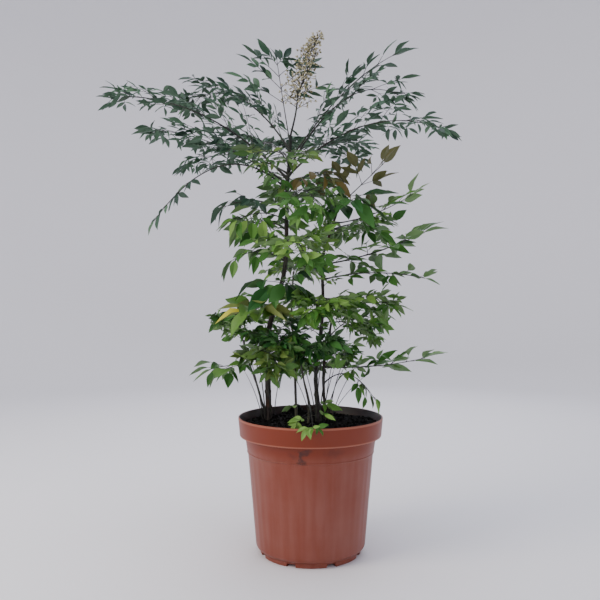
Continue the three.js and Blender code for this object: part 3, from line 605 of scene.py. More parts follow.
@dataclass(frozen=True)
class Compost(Finish):
    """Damp potting compost: near black, crumbly and dull, with a few paler fibres and specks."""

    colour: str = "#050404"
    roughness: float = 0.95
    ior: float = 1.25
    swing: float = 0.08
    depth: float = 2.0
    crumb: str = "#0b0807"
    crumb_size: float = 4
    speck: str = "#32302e"
    speck_step: float = 7

    def dress(self, nodes: Nodes) -> Dressing:
        """Brown crumbs, which also give the gloss and the relief, and specks of 1 mm."""
        crumbled = {"Vector": nodes.place, "Scale": per_metre(self.crumb_size), "Detail": 5.0, "Roughness": 0.7}
        crumbs = nodes.add("TexNoise", crumbled, "Fac")
        away = nodes.add("TexVoronoi", {"Vector": nodes.place, "Scale": per_metre(self.speck_step)}, "Distance")
        return Dressing([Layer(self.crumb, crumbs, 0.45, 0.75), Layer(self.speck, away, 0.1, 0.06)], crumbs, crumbs)


@dataclass(frozen=True)
class MouldedPlastic(Finish):
    """Injection-moulded polypropylene: even terracotta colour with a satin skin.

    A dusty film dulls and greys it below the rim band, faint upright flow marks run down the
    body, and hands and wet compost have left smudges on the collar. The film stops short of the
    band, so the collar just under it keeps the darker colour: painted shade of the band.

    Attributes:
        dusty: the colour through the film.
        smudge: colour of the marks.
        painted_edge_highlight: colour of the painted highlights along the top and lower edges of the rim band.
        inner_darkening: the near-black colour laid nearly wholly over the inner face.
        band_low: height of the lower edge of the rim band.
        band_radius: outer radius of that edge.
        rim_top: height of the rim.
        flow_width: width of a flow mark.
        flow_length: length of a flow mark.
        cloud: size of the patches in the film and the gloss.
        marks: each smudge's centre, half width and half height.
        faint_marks: the same for the fainter ones.
        ragged: how far the noise moves a smudge's edge.
        torn: size of that noise.
        grain: grain of the mould's skin.
    """

    colour: str = "#742a0d"
    roughness: float = 0.42
    ior: float = 1.4
    depth: float = 0.05
    dusty: str = "#824a3d"
    smudge: str = "#2d1c1a"
    painted_edge_highlight: str = "#b3745c"
    inner_darkening: str = "#0b0808"
    band_low: float = 225
    band_radius: float = 137
    rim_top: float = 261
    flow_width: float = 16
    flow_length: float = 260
    cloud: float = 70
    marks: tuple = (((-19, -124, 206), 8, 22), ((-12, -125, 216), 20, 9), ((-17, -123, 198), 15, 7))
    faint_marks: tuple = (((-34, -119, 208), 16, 9), ((42, -121, 214), 34, 12), ((58, -116, 206), 7, 18))
    ragged: float = 20
    torn: float = 11
    grain: float = 1.2

    def dust_and_band_shade(self, nodes: Nodes, height: Output, cloud: Output) -> Output:
        """How dusty a place is: not at all on the rim band, and more in patches and flow marks. The
        film fades out over the collar under the band, which leaves painted shade of the band there.

        Args:
            nodes: the material's nodes.
            height: the place's height.
            cloud: the broad patches.

        Returns:
            The share of the dusty colour.
        """
        low = self.band_low * MM
        # The film fades out 10 to 34 mm below the band: the darker collar above it is painted shade of the band.
        below = {"Value": height, "From Min": low - 10 * MM, "From Max": low - 34 * MM}
        film = nodes.add("MapRange", below, "Result", interpolation_type="SMOOTHSTEP")
        scale = (per_metre(self.flow_width), per_metre(self.flow_width), per_metre(self.flow_length))
        drawn = nodes.add("Mapping", {"Vector": nodes.place, "Scale": scale}, "Vector")
        flow = nodes.add("TexNoise", {"Vector": drawn, "Scale": 1.0, "Detail": 3.0}, "Fac")
        uneven = nodes.add("Math", {0: flow, 1: cloud}, "Value", operation="ADD")
        patchy = {"Value": uneven, "From Min": 0.75, "From Max": 1.25, "To Min": 0.35, "To Max": 1.0}
        patches = nodes.add("MapRange", patchy, "Result")
        return nodes.add("Math", {0: film, 1: patches}, "Value", operation="MULTIPLY")

    def smudges(self, nodes: Nodes) -> list[Layer]:
        """The smudges: 1 at a mark's centre, falling to 0 at the ragged edge of its ellipse.

        Args:
            nodes: the material's nodes.

        Returns:
            A layer for each smudge.
        """
        rough = {"Vector": nodes.place, "Scale": per_metre(self.torn), "Detail": 5.0, "Roughness": 0.65}
        torn = nodes.add("TexNoise", rough, "Fac")
        reach = self.ragged * MM
        middle = nodes.add("VectorMath", {0: nodes.place, 1: (reach / 2,) * 3}, "Vector", operation="SUBTRACT")
        shift = {0: torn.node.outputs["Color"], 1: (reach,) * 3, 2: middle}
        shaken = nodes.add("VectorMath", shift, "Vector", operation="MULTIPLY_ADD")
        layers = []
        for mark, strength in [(mark, 0.7) for mark in self.marks] + [(mark, 0.3) for mark in self.faint_marks]:
            centre, half_width, half_height = mark
            scale = (per_metre(half_width), per_metre(half_width), per_metre(half_height))
            start = tuple(-c * MM * s for c, s in zip(centre, scale))
            moved = nodes.add("Mapping", {"Vector": shaken, "Location": start, "Scale": scale}, "Vector")
            away = nodes.add("VectorMath", {0: moved}, "Value", operation="LENGTH")
            fall = {"Value": away, "From Min": 1.0, "From Max": 0.2}
            near = nodes.add("MapRange", fall, "Result", interpolation_type="SMOOTHSTEP")
            edge = nodes.add("Math", {0: near, 1: torn}, "Value", operation="MULTIPLY")
            layers.append(Layer(self.smudge, edge, 0.14, 0.5, strength))
        return layers

    def inside(self, nodes: Nodes, height: Output, cloud: Output) -> Output:
        """How far the near-black colour covers a place: nearly wholly on the inner face, and nowhere outside.

        The limit between them is a cone that runs up the middle of the rim band's wall.

        Args:
            nodes: the material's nodes.
            height: the place's height.
            cloud: the broad patches.

        Returns:
            The share of the near-black colour.
        """
        low, thin, thick = self.band_low * MM, (self.band_radius - 2) * MM, (self.band_radius + 1) * MM
        cone = {"Value": height, "From Min": low, "From Max": self.rim_top * MM, "To Min": thin, "To Max": thick}
        limit = nodes.add("MapRange", cone, "Result", clamp=False)
        flat = nodes.add("VectorMath", {0: nodes.place, 1: (1.0, 1.0, 0.0)}, "Vector", operation="MULTIPLY")
        radius = nodes.add("VectorMath", {0: flat}, "Value", operation="LENGTH")
        within = nodes.add("Math", {0: limit, 1: radius}, "Value", operation="SUBTRACT")
        inner = nodes.add("MapRange", {"Value": within, "From Min": -0.2 * MM, "From Max": 0.6 * MM}, "Result")
        high = nodes.add("MapRange", {"Value": height, "From Min": low, "From Max": low + 2 * MM}, "Result")
        patchy = {"Value": cloud, "From Min": 0.3, "From Max": 0.6, "To Min": 0.86, "To Max": 0.99}
        cover = nodes.add("MapRange", patchy, "Result")
        inner = nodes.add("Math", {0: inner, 1: high}, "Value", operation="MULTIPLY")
        return nodes.add("Math", {0: inner, 1: cover}, "Value", operation="MULTIPLY")

    def dress(self, nodes: Nodes) -> Dressing:
        """The dusty film with the band's painted shade, the smudges, the painted highlights on the rim
        band's edges and the near-black inner face, over a fine moulded grain.

        Args:
            nodes: the material's nodes.

        Returns:
            The layers, with the broad patches in the gloss and the grain in the relief.
        """
        height = nodes.add("SeparateXYZ", {"Vector": nodes.place}, "Z")
        broad = {"Vector": nodes.place, "Scale": per_metre(self.cloud), "Detail": 4.0}
        cloud = nodes.add("TexNoise", broad, "Fac")
        layers = [Layer(self.dusty, self.dust_and_band_shade(nodes, height, cloud)), *self.smudges(nodes)]
        # Painted highlights: a paler colour along the rim's top and the band's lower edge, where light catches
        # them.
        for edge in (self.rim_top - 2, self.band_low + 1):
            away = nodes.add("Math", {0: height, 1: edge * MM}, "Value", operation="SUBTRACT")
            away = nodes.add("Math", {0: away}, "Value", operation="ABSOLUTE")
            layers.append(Layer(self.painted_edge_highlight, away, 2.4 * MM, 0.8 * MM, 0.5))
        layers.append(Layer(self.inner_darkening, self.inside(nodes, height, cloud)))
        grain = nodes.add("TexNoise", {"Vector": nodes.place, "Scale": per_metre(self.grain)}, "Fac")
        return Dressing(layers, cloud, grain)


@dataclass(frozen=True)
class Blossom(Finish):
    """Waxy flower buds: cream, with bud-sized patches of painted shade in a darker colour."""

    colour: str = "#cbc3a1"
    roughness: float = 0.6
    # Painted shade, laid in random patches about the size of a bud.
    shaded: str = "#a39c74"
    patch: float = 7

    def dress(self, nodes: Nodes) -> Dressing:
        """Patches of the cream and the painted shade, which also swing the gloss."""
        patch = nodes.add("TexNoise", {"Vector": nodes.place, "Scale": per_metre(self.patch)}, "Fac")
        return Dressing([Layer(self.shaded, patch, 0.4, 0.65)], patch)


@dataclass(frozen=True)
class PaintedWall(Finish):
    """Matt emulsion on the studio's floor and wall, rolled on: a fine grain in its gloss."""

    colour: str = "#f0eff3"
    roughness: float = 0.9
    swing: float = 0.05
    grain: float = 6

    def dress(self, nodes: Nodes) -> Dressing:
        """The roller's grain."""
        scale = per_metre(self.grain)
        return Dressing([], nodes.add("TexNoise", {"Vector": nodes.place, "Scale": scale}, "Fac"))


class Tone(Enum):
    """Kinds of leaf colour: three upper shades and the paler underside, each a plain colour."""

    DEEP = ("deep", "#304f3a", "#4a6a4e", "#263f31", "#49634f")
    MID = ("mid", "#40702b", "#5e8940", "#2d571f", "#5b7a4b")
    DARK = ("dark", "#285a26", "#3f7030", "#1a4219", "#44663b")
    FRESH = ("fresh", "#507c2d", "#6f9644", "#3c6a25", "#688751")
    LIME = ("lime", "#4a692b", "#3a5d28", "#5d7535", "#59704a")
    BRONZE = ("bronze", "#5b602a", "#435827", "#645729", "#61613d")
    YELLOWING = ("yellowing", "#c6c242", "#487029", "#577f33", "#87954e")

    def __init__(self, label: str, *colours: str) -> None:
        """Names a member's label and colours."""
        self.label, self.colours = label, colours

    def materials(self) -> list[Material]:
        """The shades' materials, and the underside's last."""
        faces = ("upper_first", "upper_second", "upper_third", "underside")
        names = [f"leaf_cuticle_{self.label}_{face}" for face in faces]
        return [Leaflet(name, colour).material() for name, colour in zip(names, self.colours)]


DEEP, MID, DARK, FRESH, LIME, BRONZE, YELLOWING = Tone
UPPER_SHADES = 3


# ---- pot and compost


@dataclass
class Pot:
    """The nursery pot: one moulded wall turned round its axis, with flutes and drainage notches."""

    rim_top: float
    rim_radius: float
    band_low: float = 225
    band_low_radius: float = 137
    collar_radius: float = 127
    collar_low: float = 195
    collar_low_radius: float = 122.5
    body_top_radius: float = 121.5
    heel_height: float = 20
    heel_radius: float = 106
    foot_top: float = 10
    foot_radius: float = 97
    wall: float = 3
    floor: float = 5
    lip: float = 1.4
    columns: int = 320
    flutes: int = 40
    flute_depth: float = 0.3
    notches: int = 8
    notch_depth: float = 14
    notch_width: float = 19
    notch_height: float = 8
    finish: MouldedPlastic = MouldedPlastic("injection_moulded_polypropylene")

    @classmethod
    def from_frame(cls) -> "Pot":
        """The pot at the size of its solid in the frame."""
        low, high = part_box("pot")
        return cls(rim_top=(high[2] - low[2]) / MM, rim_radius=(high[0] - low[0]) / 2 / MM)

    def arc(self, centre: tuple[float, float], radius: float, start: float, end: float, steps: int) -> Array:
        """Rows [radius, height] on a circle's arc from one angle in degrees to another."""
        angle = np.radians(np.linspace(start, end, steps))
        return np.stack([centre[0] + radius * np.cos(angle), centre[1] + radius * np.sin(angle)], axis=1)

    def inside(self) -> Array:
        """Rows [radius, height] of the inner face from the rim down to the floor."""
        slope = (self.body_top_radius - self.heel_radius) / (self.collar_low - self.heel_height)
        hip = self.foot_top + 4
        hip_radius = self.heel_radius + slope * (hip - self.heel_height) - self.wall
        return np.array([
            [self.rim_radius - self.wall, self.rim_top - self.lip],
            [self.collar_radius - self.wall, self.band_low],
            [self.collar_low_radius - self.wall, self.collar_low],
            [hip_radius, hip],
            [self.foot_radius - self.wall, self.floor],
        ])

    def rows(self) -> Array:
        """The wall's section, from under the floor up the outside, over the rim and down inside.

        Returns:
            Rows [radius, height].
        """
        inner_foot = self.foot_radius - self.notch_depth
        body_heights = np.linspace(self.heel_height + 3, self.collar_low - 4, 22)
        rise = (body_heights - self.heel_height) / (self.collar_low - self.heel_height)
        body_radii = self.heel_radius + (self.body_top_radius - self.heel_radius) * rise
        heel_width = self.heel_radius - self.foot_radius
        bend = np.radians(np.linspace(0, 90, 7))
        heel = np.stack([
            self.foot_radius + heel_width * np.sin(bend),
            self.heel_height - (self.heel_height - self.foot_top) * np.cos(bend),
        ], axis=1)
        band_edge = self.band_low_radius - self.lip
        rim = (self.rim_radius - self.wall / 2, self.rim_top - self.wall / 2)
        return np.vstack([
            [[inner_foot / 2, 0], [inner_foot - 0.2, 0], [inner_foot + 0.2, 0], [self.foot_radius - 1, 0]],
            [[self.foot_radius, 1], [self.foot_radius, self.foot_top - 0.8]],
            heel,
            np.stack([body_radii, body_heights], axis=1),
            [[self.body_top_radius, self.collar_low - 2.2]],
            self.arc((self.body_top_radius, self.collar_low), 1.6, -80, 60, 6),
            [[self.collar_low_radius + 0.4, self.collar_low + 3], [self.collar_radius, self.band_low - 0.6]],
            [[self.collar_radius + 0.6, self.band_low]],
            self.arc((band_edge, self.band_low + self.lip), self.lip, -90, 0, 5),
            [[self.rim_radius - 0.6, self.rim_top - 9], [self.rim_radius, self.rim_top - 4]],
            self.arc(rim, self.wall / 2, 0, 180, 9),
            self.inside(),
            [[self.foot_radius / 2, self.floor]],
        ])

    def build(self) -> None:
        """Turns the section round the axis, presses in the flutes and cuts the notches.

        A corner at angle q on a row [r, z] lies at (r cos q, r sin q, z). On the body r loses
        flute_depth (1 - cos(flutes q)) / 2, and under a notch the foot's lowest rows rise.
        """
        rows = self.rows()
        q = turns(self.columns)
        radius, height = (np.repeat(rows[:, i : i + 1], self.columns, axis=1) for i in range(2))
        outside = np.arange(len(rows)) < np.argmax(rows[:, 1])
        from_heel = np.clip((rows[:, 1] - self.heel_height) / 8, 0, 1)
        fade = from_heel * np.clip((self.collar_low - 4 - rows[:, 1]) / 6, 0, 1)
        depth = (self.flute_depth * fade * outside)[:, None]
        radius = radius - depth * (1 - np.cos(self.flutes * q)) / 2
        turn = np.mod(q, 2 * np.pi / self.notches) - np.pi / self.notches
        open_here = np.abs(turn) * self.foot_radius < self.notch_width / 2
        foot = outside & (rows[:, 0] > self.foot_radius - self.notch_depth) & (rows[:, 1] < self.notch_height)
        height = np.where(foot[:, None] & open_here, self.notch_height, height)
        rings = np.stack([radius * np.cos(q), radius * np.sin(q), height], axis=-1)
        shape = Shape.skin(rings[None], np.zeros((1, 3)), np.array([[0, 0, self.floor]]))
        place(shape.build("pot_wall", [self.finish.material()], crease=32), ["pot"])


@dataclass
class CompostBed:
    """The compost: a rough surface of clods and crumbs on a body that fills the pot."""

    pot: Pot
    top: float
    clearance: float = 0.4
    columns: int = 180
    rings: int = 60
    swell: float = 2.6
    clod: float = 2.4
    crumb: float = 1.1
    roughest: float = 4
    lump_centre: tuple[float, float] = (-26, 116)
    lump_width: float = 13
    lump_height: float = 19
    loose_crumbs: int = 900
    crumb_sides: int = 6
    key: int = 31
    finish: Compost = Compost("damp_potting_compost")

    @classmethod
    def from_frame(cls, pot: Pot) -> "CompostBed":
        """The compost, at the level of its solid in the frame."""
        return cls(pot=pot, top=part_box("compost")[1][2] / MM)

    def edge(self) -> float:
        """Radius of the surface where it meets the pot."""
        rows = self.pot.inside()[::-1]
        return float(np.interp(self.top, rows[:, 1], rows[:, 0])) - self.clearance

    def height_at(self, x: Array, y: Array) -> Array:
        """Height of the surface: its level, three sizes of noise and one lump at the back.

        Args:
            x: places to the right.
            y: places to the back, of the same shape.

        Returns:
            Heights of that shape.
        """
        flat = np.stack([x, y, np.zeros_like(x)], axis=-1)
        sizes = enumerate([(self.swell, 45), (self.clod, 11), (self.crumb, 4)])
        rough = sum(depth * lattice_noise(flat, cell, self.key + i) for i, (depth, cell) in sizes)
        away = np.hypot(x - self.lump_centre[0], y - self.lump_centre[1])
        lump = self.lump_height * np.exp(-((away / self.lump_width) ** 2))
        return self.top + np.clip(rough, -self.roughest, self.roughest) + lump

    def build(self) -> None:
        """The bed and its loose crumbs as one mesh.

        The bed is one body of rings round its axis: up along the pot's inner face, a clearance
        away, and then in over the surface.
        """
        q = turns(self.columns)
        side = self.pot.inside()[::-1]
        side = side[side[:, 1] < self.top] - [self.clearance, 0]
        side[:, 1] += self.clearance * (side[:, 1] <= self.pot.floor)
        circle = np.stack([np.cos(q), np.sin(q)], axis=-1)
        walls = [np.concatenate([r * circle, np.full((self.columns, 1), z)], axis=1) for r, z in side]
        radii = self.edge() * np.linspace(1, 0, self.rings, endpoint=False) ** 0.8
        x, y = (radii[:, None] * circle[:, i] for i in range(2))
        surface = np.stack([x, y, self.height_at(x, y)], axis=-1)
        middle = np.array([[0, 0, float(self.height_at(np.zeros(1), np.zeros(1))[0])]])
        bottom = np.array([[0, 0, self.pot.floor + self.clearance]])
        bed = Shape.skin(np.concatenate([np.stack(walls), surface])[None], bottom, middle)
        shape = Shape.join([bed, self.crumbs()])
        place(shape.build("compost_bed", [self.finish.material()], crease=80), ["compost"])

    def crumbs(self) -> Shape:
        """Loose crumbs: lumpy balls of 1 to 4 mm, pressed half into the surface.

        Each is a sphere of rings at four heights, with every radius scaled by its own random.

        Returns:
            All the crumbs.
        """
        n = np.arange(self.loose_crumbs)
        reach = (self.edge() - 5) * np.sqrt(draw(self.key, n, 1))
        turn = 2 * np.pi * draw(self.key, n, 2)
        x, y = reach * np.cos(turn), reach * np.sin(turn)
        size = 1.0 + 2.6 * draw(self.key, n, 3) ** 3
        centre = np.stack([x, y, self.height_at(x, y) + 0.3 * size], axis=-1)
        rise = np.radians([-50, -15, 20, 55])[:, None]
        q = turns(self.crumb_sides)
        upright = np.repeat(np.sin(rise), self.crumb_sides, axis=1)
        ball = np.stack([np.cos(rise) * np.cos(q), np.cos(rise) * np.sin(q), upright], axis=-1)
        rows, corners = np.arange(len(rise))[:, None], np.arange(self.crumb_sides)
        lumps = 0.7 + 0.6 * draw(self.key, n[:, None, None], rows, corners + 4)
        rings = centre[:, None, None] + (size[:, None, None] * lumps)[..., None] * ball
        drop = size[:, None] * UP * 0.8
        return Shape.skin(rings, centre - drop, centre + drop)


# ---- canes


@dataclass
class Cane:
    """A cane: its knots, its taper and the relief of its bark.

    Attributes:
        name: the solid that it takes the place of.
        foot: radius at the compost.
        tip: radius at the top.
        flare: how much wider the foot flares.
        knots: places on its axis, from the compost up.
        relief: depth of its bark's relief as a share of its radius.
        internode: distance between the bases of old leaves.
    """

    name: str
    foot: float
    tip: float
    flare: float
    knots: list[Point]
    relief: float = 1.0
    sides: int = 20
    ring_step: float = 2.2
    buried: float = 6
    flare_height: float = 9
    ridges: int = 5
    ridge_depth: float = 0.07
    fissure_depth: float = 0.11
    fissure_width: float = 2.2
    fissure_length: float = 13
    internode: float = 31
    lip_place: float = 0.86
    key: int = 0

    def __post_init__(self) -> None:
        """Lays the axis through the knots."""
        self.axis = Path.through(self.knots)

    def shape(self) -> Shape:
        """The cane's skin.

        The radius at a distance s up the axis and an angle q round it is the taper, times
        1 + ridges + fissures + sheaths. The ridges are cos(ridges q) with a slow turn, the fissures
        are noise drawn out along the cane, and each sheath is the clasping base of an old leaf: it
        widens up to a lip, which is highest on its leaf's side.

        Returns:
            The skin as one body.
        """
        count = int(self.axis.length / self.ring_step)
        share = np.linspace(0, 1, count)
        centre = self.axis.at(share)
        centre[0, 2] -= self.buried
        s = (share * self.axis.length)[:, None]
        q = turns(self.sides)[None]
        taper = (self.foot + (self.tip - self.foot) * share)[:, None]
        flare = 1 + (self.flare - 1) * np.exp(-s / self.flare_height)
        wander = lattice_noise(np.concatenate([s, 0 * s, 0 * s], axis=1), 70, self.key)[:, None]
        ridges = self.ridge_depth * np.cos(self.ridges * q + 2.4 * wander)
        across = [taper * wave(q) / self.fissure_width for wave in (np.cos, np.sin)]
        up = np.broadcast_to(s / self.fissure_length, (count, self.sides))
        fissures = self.fissure_depth * lattice_noise(np.stack([*across, up], axis=-1), 1.0, self.key + 1)
        place_in = s / self.internode + 0.3 * one(self.key, 5)
        order, phase = np.floor(place_in), np.mod(place_in, 1)
        leaf_side = np.radians(LEAF_TURN) * order
        lip = np.exp(-(((phase - self.lip_place) / 0.09) ** 2)) * (0.5 + 0.5 * np.cos(q - leaf_side))
        sheaths = 0.10 * phase**2 * (phase < 0.9) + 0.26 * lip
        radius = taper * flare * (1 + self.relief * (ridges + fissures + sheaths))
        along = unit(np.gradient(centre, axis=0))
        a = unit(np.cross(BACK, along))
        circle = turned(a[:, None], np.cross(along, a)[:, None], q)
        rings = centre[:, None] + radius[..., None] * circle
        end = centre[-1] + 0.6 * self.tip * along[-1]
        return Shape.skin(rings[None], centre[:1] - [0, 0, 1], end[None])

    def build(self) -> None:
        """Builds the cane, in bark or, with a shallow relief, in the finish of young wood."""
        young = Stalk("green_young_cane", "#2f2b26", 0.6, sunlit="#454533")
        finish = young if self.relief < 1 else Bark("corky_cane_bark")
        piece = self.shape().build(self.name + "_bark", [finish.material()], crease=70)
        place(piece, [self.name])


CANES = [
    Cane("cane_tall", 6.2, 2.6, 1.25, [
        (-84, 62, 246), (-86, 55, 350), (-84, 48, 422), (-68, 40, 483), (-51, 30, 547),
        (-47, 22, 618), (-46, 15, 705), (-40, 10, 780), (-39, 10, 808)], key=11),
    Cane("cane_middle", 4.2, 2.2, 1.25, [
        (15, 20, 246), (11, 22, 352), (21, 24, 423), (25, 25, 476), (25, 20, 571),
        (35, 15, 606), (58, 5, 676)], key=12),
    Cane("cane_right", 3.1, 1.9, 1.2, [
        (32, 45, 246), (27, 42, 305), (28, 39, 360), (40, 40, 426), (48, 45, 486)], key=13),
    Cane("shoot_left", 2.4, 1.7, 1.2, [
        (-90, 74, 246), (-110, 84, 312), (-128, 90, 361), (-139, 92, 403)], relief=0.5, key=14),
    Cane("shoot_front", 2.0, 1.5, 1.2, [
        (-4, 4, 246), (-4, 0, 286), (-12, -5, 325), (-20, -12, 372)], relief=0.5, key=15),
    Cane("shoot_back", 2.8, 1.8, 1.2, [
        (-28, 70, 246), (-32, 88, 360), (-38, 106, 470), (-34, 112, 545)], relief=0.5, key=16),
]


# ---- the rules of the foliage


@dataclass(frozen=True)
class LeafForm:
    """A leaflet's outline: its width as a share of its length, and how its foot and tip taper."""

    slimness: float
    shoulder: float
    tail: float


LANCE = LeafForm(slimness=0.32, shoulder=1.0, tail=1.2)
HEART = LeafForm(slimness=0.43, shoulder=0.92, tail=1.3)
BROAD = LeafForm(slimness=0.54, shoulder=0.9, tail=1.25)
BROAD_FRONDS = ("yellowing", "front_dark")


class Leafing(Enum):
    """How a frond fills its leaflets' places: if each holds a spray of three, a number added to
    the pairs of places on a twig, and where the outermost pair stands along it."""

    AIRY = (False, -0.5, 0.62)
    CLOSE = (False, 1.0, 0.86)
    TUFTED = (True, -1.0, 0.62)
    SPRAYED = (True, 0.15, 0.72)
    DENSE = (True, 0.7, 0.8)
    LUSH = (True, 2.7, 0.88)

    def __init__(self, sprayed: bool, fullness: float, outer_pair: float) -> None:
        """Names a member's three values."""
        self.sprayed, self.fullness, self.outer_pair = sprayed, fullness, outer_pair


AIRY, CLOSE, TUFTED, SPRAYED, DENSE, LUSH = Leafing


@dataclass(frozen=True)
class Habit:
    """How loosely a frond is held, and its leaflets' form.

    Attributes:
        twig_swing: the random part of a twig's lift.
        leaf_swing: the random part of the droop of a leaflet's place.
        roll: the most that a leaflet's place is rolled, in degrees.
        form: outline of its leaflets.
        levelling: how far its blades turn level where its rachis stands steep.
    """

    twig_swing: float
    leaf_swing: float
    roll: float
    form: LeafForm
    levelling: float = 0


FLAT = Habit(twig_swing=0.35, leaf_swing=0.3, roll=34, form=LANCE)
LOOSE = Habit(twig_swing=1.1, leaf_swing=0.7, roll=50, form=HEART)
ERECT = Habit(twig_swing=0.5, leaf_swing=0.5, roll=60, form=LANCE, levelling=0.7)
ERECT_FRONDS = ("crown_leader",)
FLAT_FRONDS = 12


@dataclass(frozen=True)
class PinnaRule:
    """How a frond's rachis bears pairs of pinnae. Angles are in degrees."""

    last_node: float = 0.95
    crowding: float = 0.9
    angle: float = 62
    angle_fall: float = 18
    angle_swing: float = 12
    length_fall: float = 0.6
    length_least: float = 0.85
    length_swing: float = 0.3
    lift: float = 0.1
    hang_share: float = 0.25
    sag: float = 0.04
    spray_fall: float = 0.8
    pair_stretch: float = 0.72
    stagger: float = 1.6
    end_share: float = 0.6
    points: int = 7
    foot_radius: float = 0.7
    tip_radius: float = 0.42


@dataclass(frozen=True)
class LeafRule:
    """How a twig bears its leaflets. Angles are in degrees."""

    spread: float = 50
    spread_swing: float = 14
    length_least: float = 0.87
    length_swing: float = 0.34
    tip_longer: float = 1.1


@dataclass(frozen=True)
class SprayRule:
    """How one leaflet's place is taken by a spray of three on a short stalk of their own.

    Lengths are shares of the place's length and angles are degrees. The pair springs from the hub
    and the leaflet at the tip from the stalk's end.
    """

    hub: float = 0.26
    end: float = 0.4
    tip: float = 0.72
    side: float = 0.64
    size_least: float = 0.7
    size_swing: float = 0.55
    spread: float = 56
    spread_swing: float = 24
    lift_swing: float = 0.8
    roll: float = 55
    other_shade: float = 0.45
    stalk_radius: float = 0.35


class Deal(IntEnum):
    """Keys that tell apart draws with otherwise the same keys."""

    SHADE_CHOICE = 8
    SPRAY = 11
    SPRAY_SHADE = 22
    OTHER_SHADE = 23
    BASAL_STALK = 60
    AXIL_TUFT = 80
    LEAVES = 200


PINNA = PinnaRule()
LEAF = LeafRule()
SPRAY = SprayRule()


# ---- what the foliage is made of


@dataclass(frozen=True)
class Blade:
    """The place of one leaflet, or of a spray of three.

    Attributes:
        root: where it starts.
        along: the unit vector that it runs along.
        wide: the unit vector across it.
        length: its length.
        form: outline of its leaflets.
    """

    root: Array
    along: Array
    wide: Array
    length: float
    form: LeafForm


@dataclass
class Leaves:
    """Leaflets of one kind, gathered one by one and made into one mesh as whole arrays."""

    blades: list[Blade] = field(default_factory=list)
    shades: list[int] = field(default_factory=list)
    rows: tuple[float, ...] = (0.06, 0.2, 0.38, 0.58, 0.77, 0.92)
    thickness: float = 0.45

    def shape(self, key: int) -> Shape:
        """All the leaflets.

        At a share v of the length, half the width is W (v/m)^p ((1-v)/(1-m))^t, with shoulder p,
        tail t and m = p/(p+t), which draws the tip out to a point. At a place u from -1 to 1
        across, the blade rises by fold |u| half, sinks by arc L v^2 towards its tip and waves at
        its edge by a share of half sin(9 v). The upper and lower face lie apart by the thickness
        times 1 - u^2.

        Args:
            key: seed of their folds, arcs, waves, twists and widths.

        Returns:
            The leaflets, with their shades' places as slots and the underside's after them.
        """
        def column(values: Array) -> Array:
            """Values with two more axes, for the rows and the corners."""
            return values[:, None, None]

        roots, alongs, wides = (
            np.array([getattr(blade, name) for blade in self.blades]) for name in ("root", "along", "wide")
        )
        forms = [(b.length, b.form.slimness * b.length, b.form.shoulder, b.form.tail) for b in self.blades]
        length, width, shoulder, tail = np.array(forms).T
        up = np.cross(alongs, wides)
        v = np.array(self.rows)
        p, t = shoulder[:, None], tail[:, None]
        m = p / (p + t)
        outline = (v / m) ** p * ((1 - v) / (1 - m)) ** t
        u = np.array([1, 0, -1, 0])
        face = np.array([0, 1, 0, -1])
        ids = np.arange(len(roots))
        fold, arc, wave, turn, broad = (draw(key, ids // 100, ids % 100, k) for k in range(5))
        arc = 0.04 + 0.2 * arc
        half = column((0.78 + 0.36 * broad) * width / 2) * outline[..., None]
        x = half * u
        v = v[None, :, None]
        ripple = 0.12 * np.sin(9 * v + 6 * column(wave)) * np.abs(u) * half
        z = column(0.2 + 0.32 * fold) * np.abs(x) + ripple - column(arc) * column(length) * v**2
        z = z + face * (1 - u**2) * self.thickness / 2
        twist = column((turn - 0.5) * 0.7) * v
        x, z = x * np.cos(twist) - z * np.sin(twist), x * np.sin(twist) + z * np.cos(twist)
        y = column(length) * v * np.ones_like(x)
        rings = column(roots) + sum(
            part[..., None] * column(axis) for part, axis in ((x, wides), (y, alongs), (z, up))
        )
        tips = roots + length[:, None] * alongs - (arc * length)[:, None] * up
        lower = (face + np.roll(face, -1)) < 0
        return Shape.skin(rings, roots, tips, np.where(lower, UPPER_SHADES, np.array(self.shades)[:, None]))


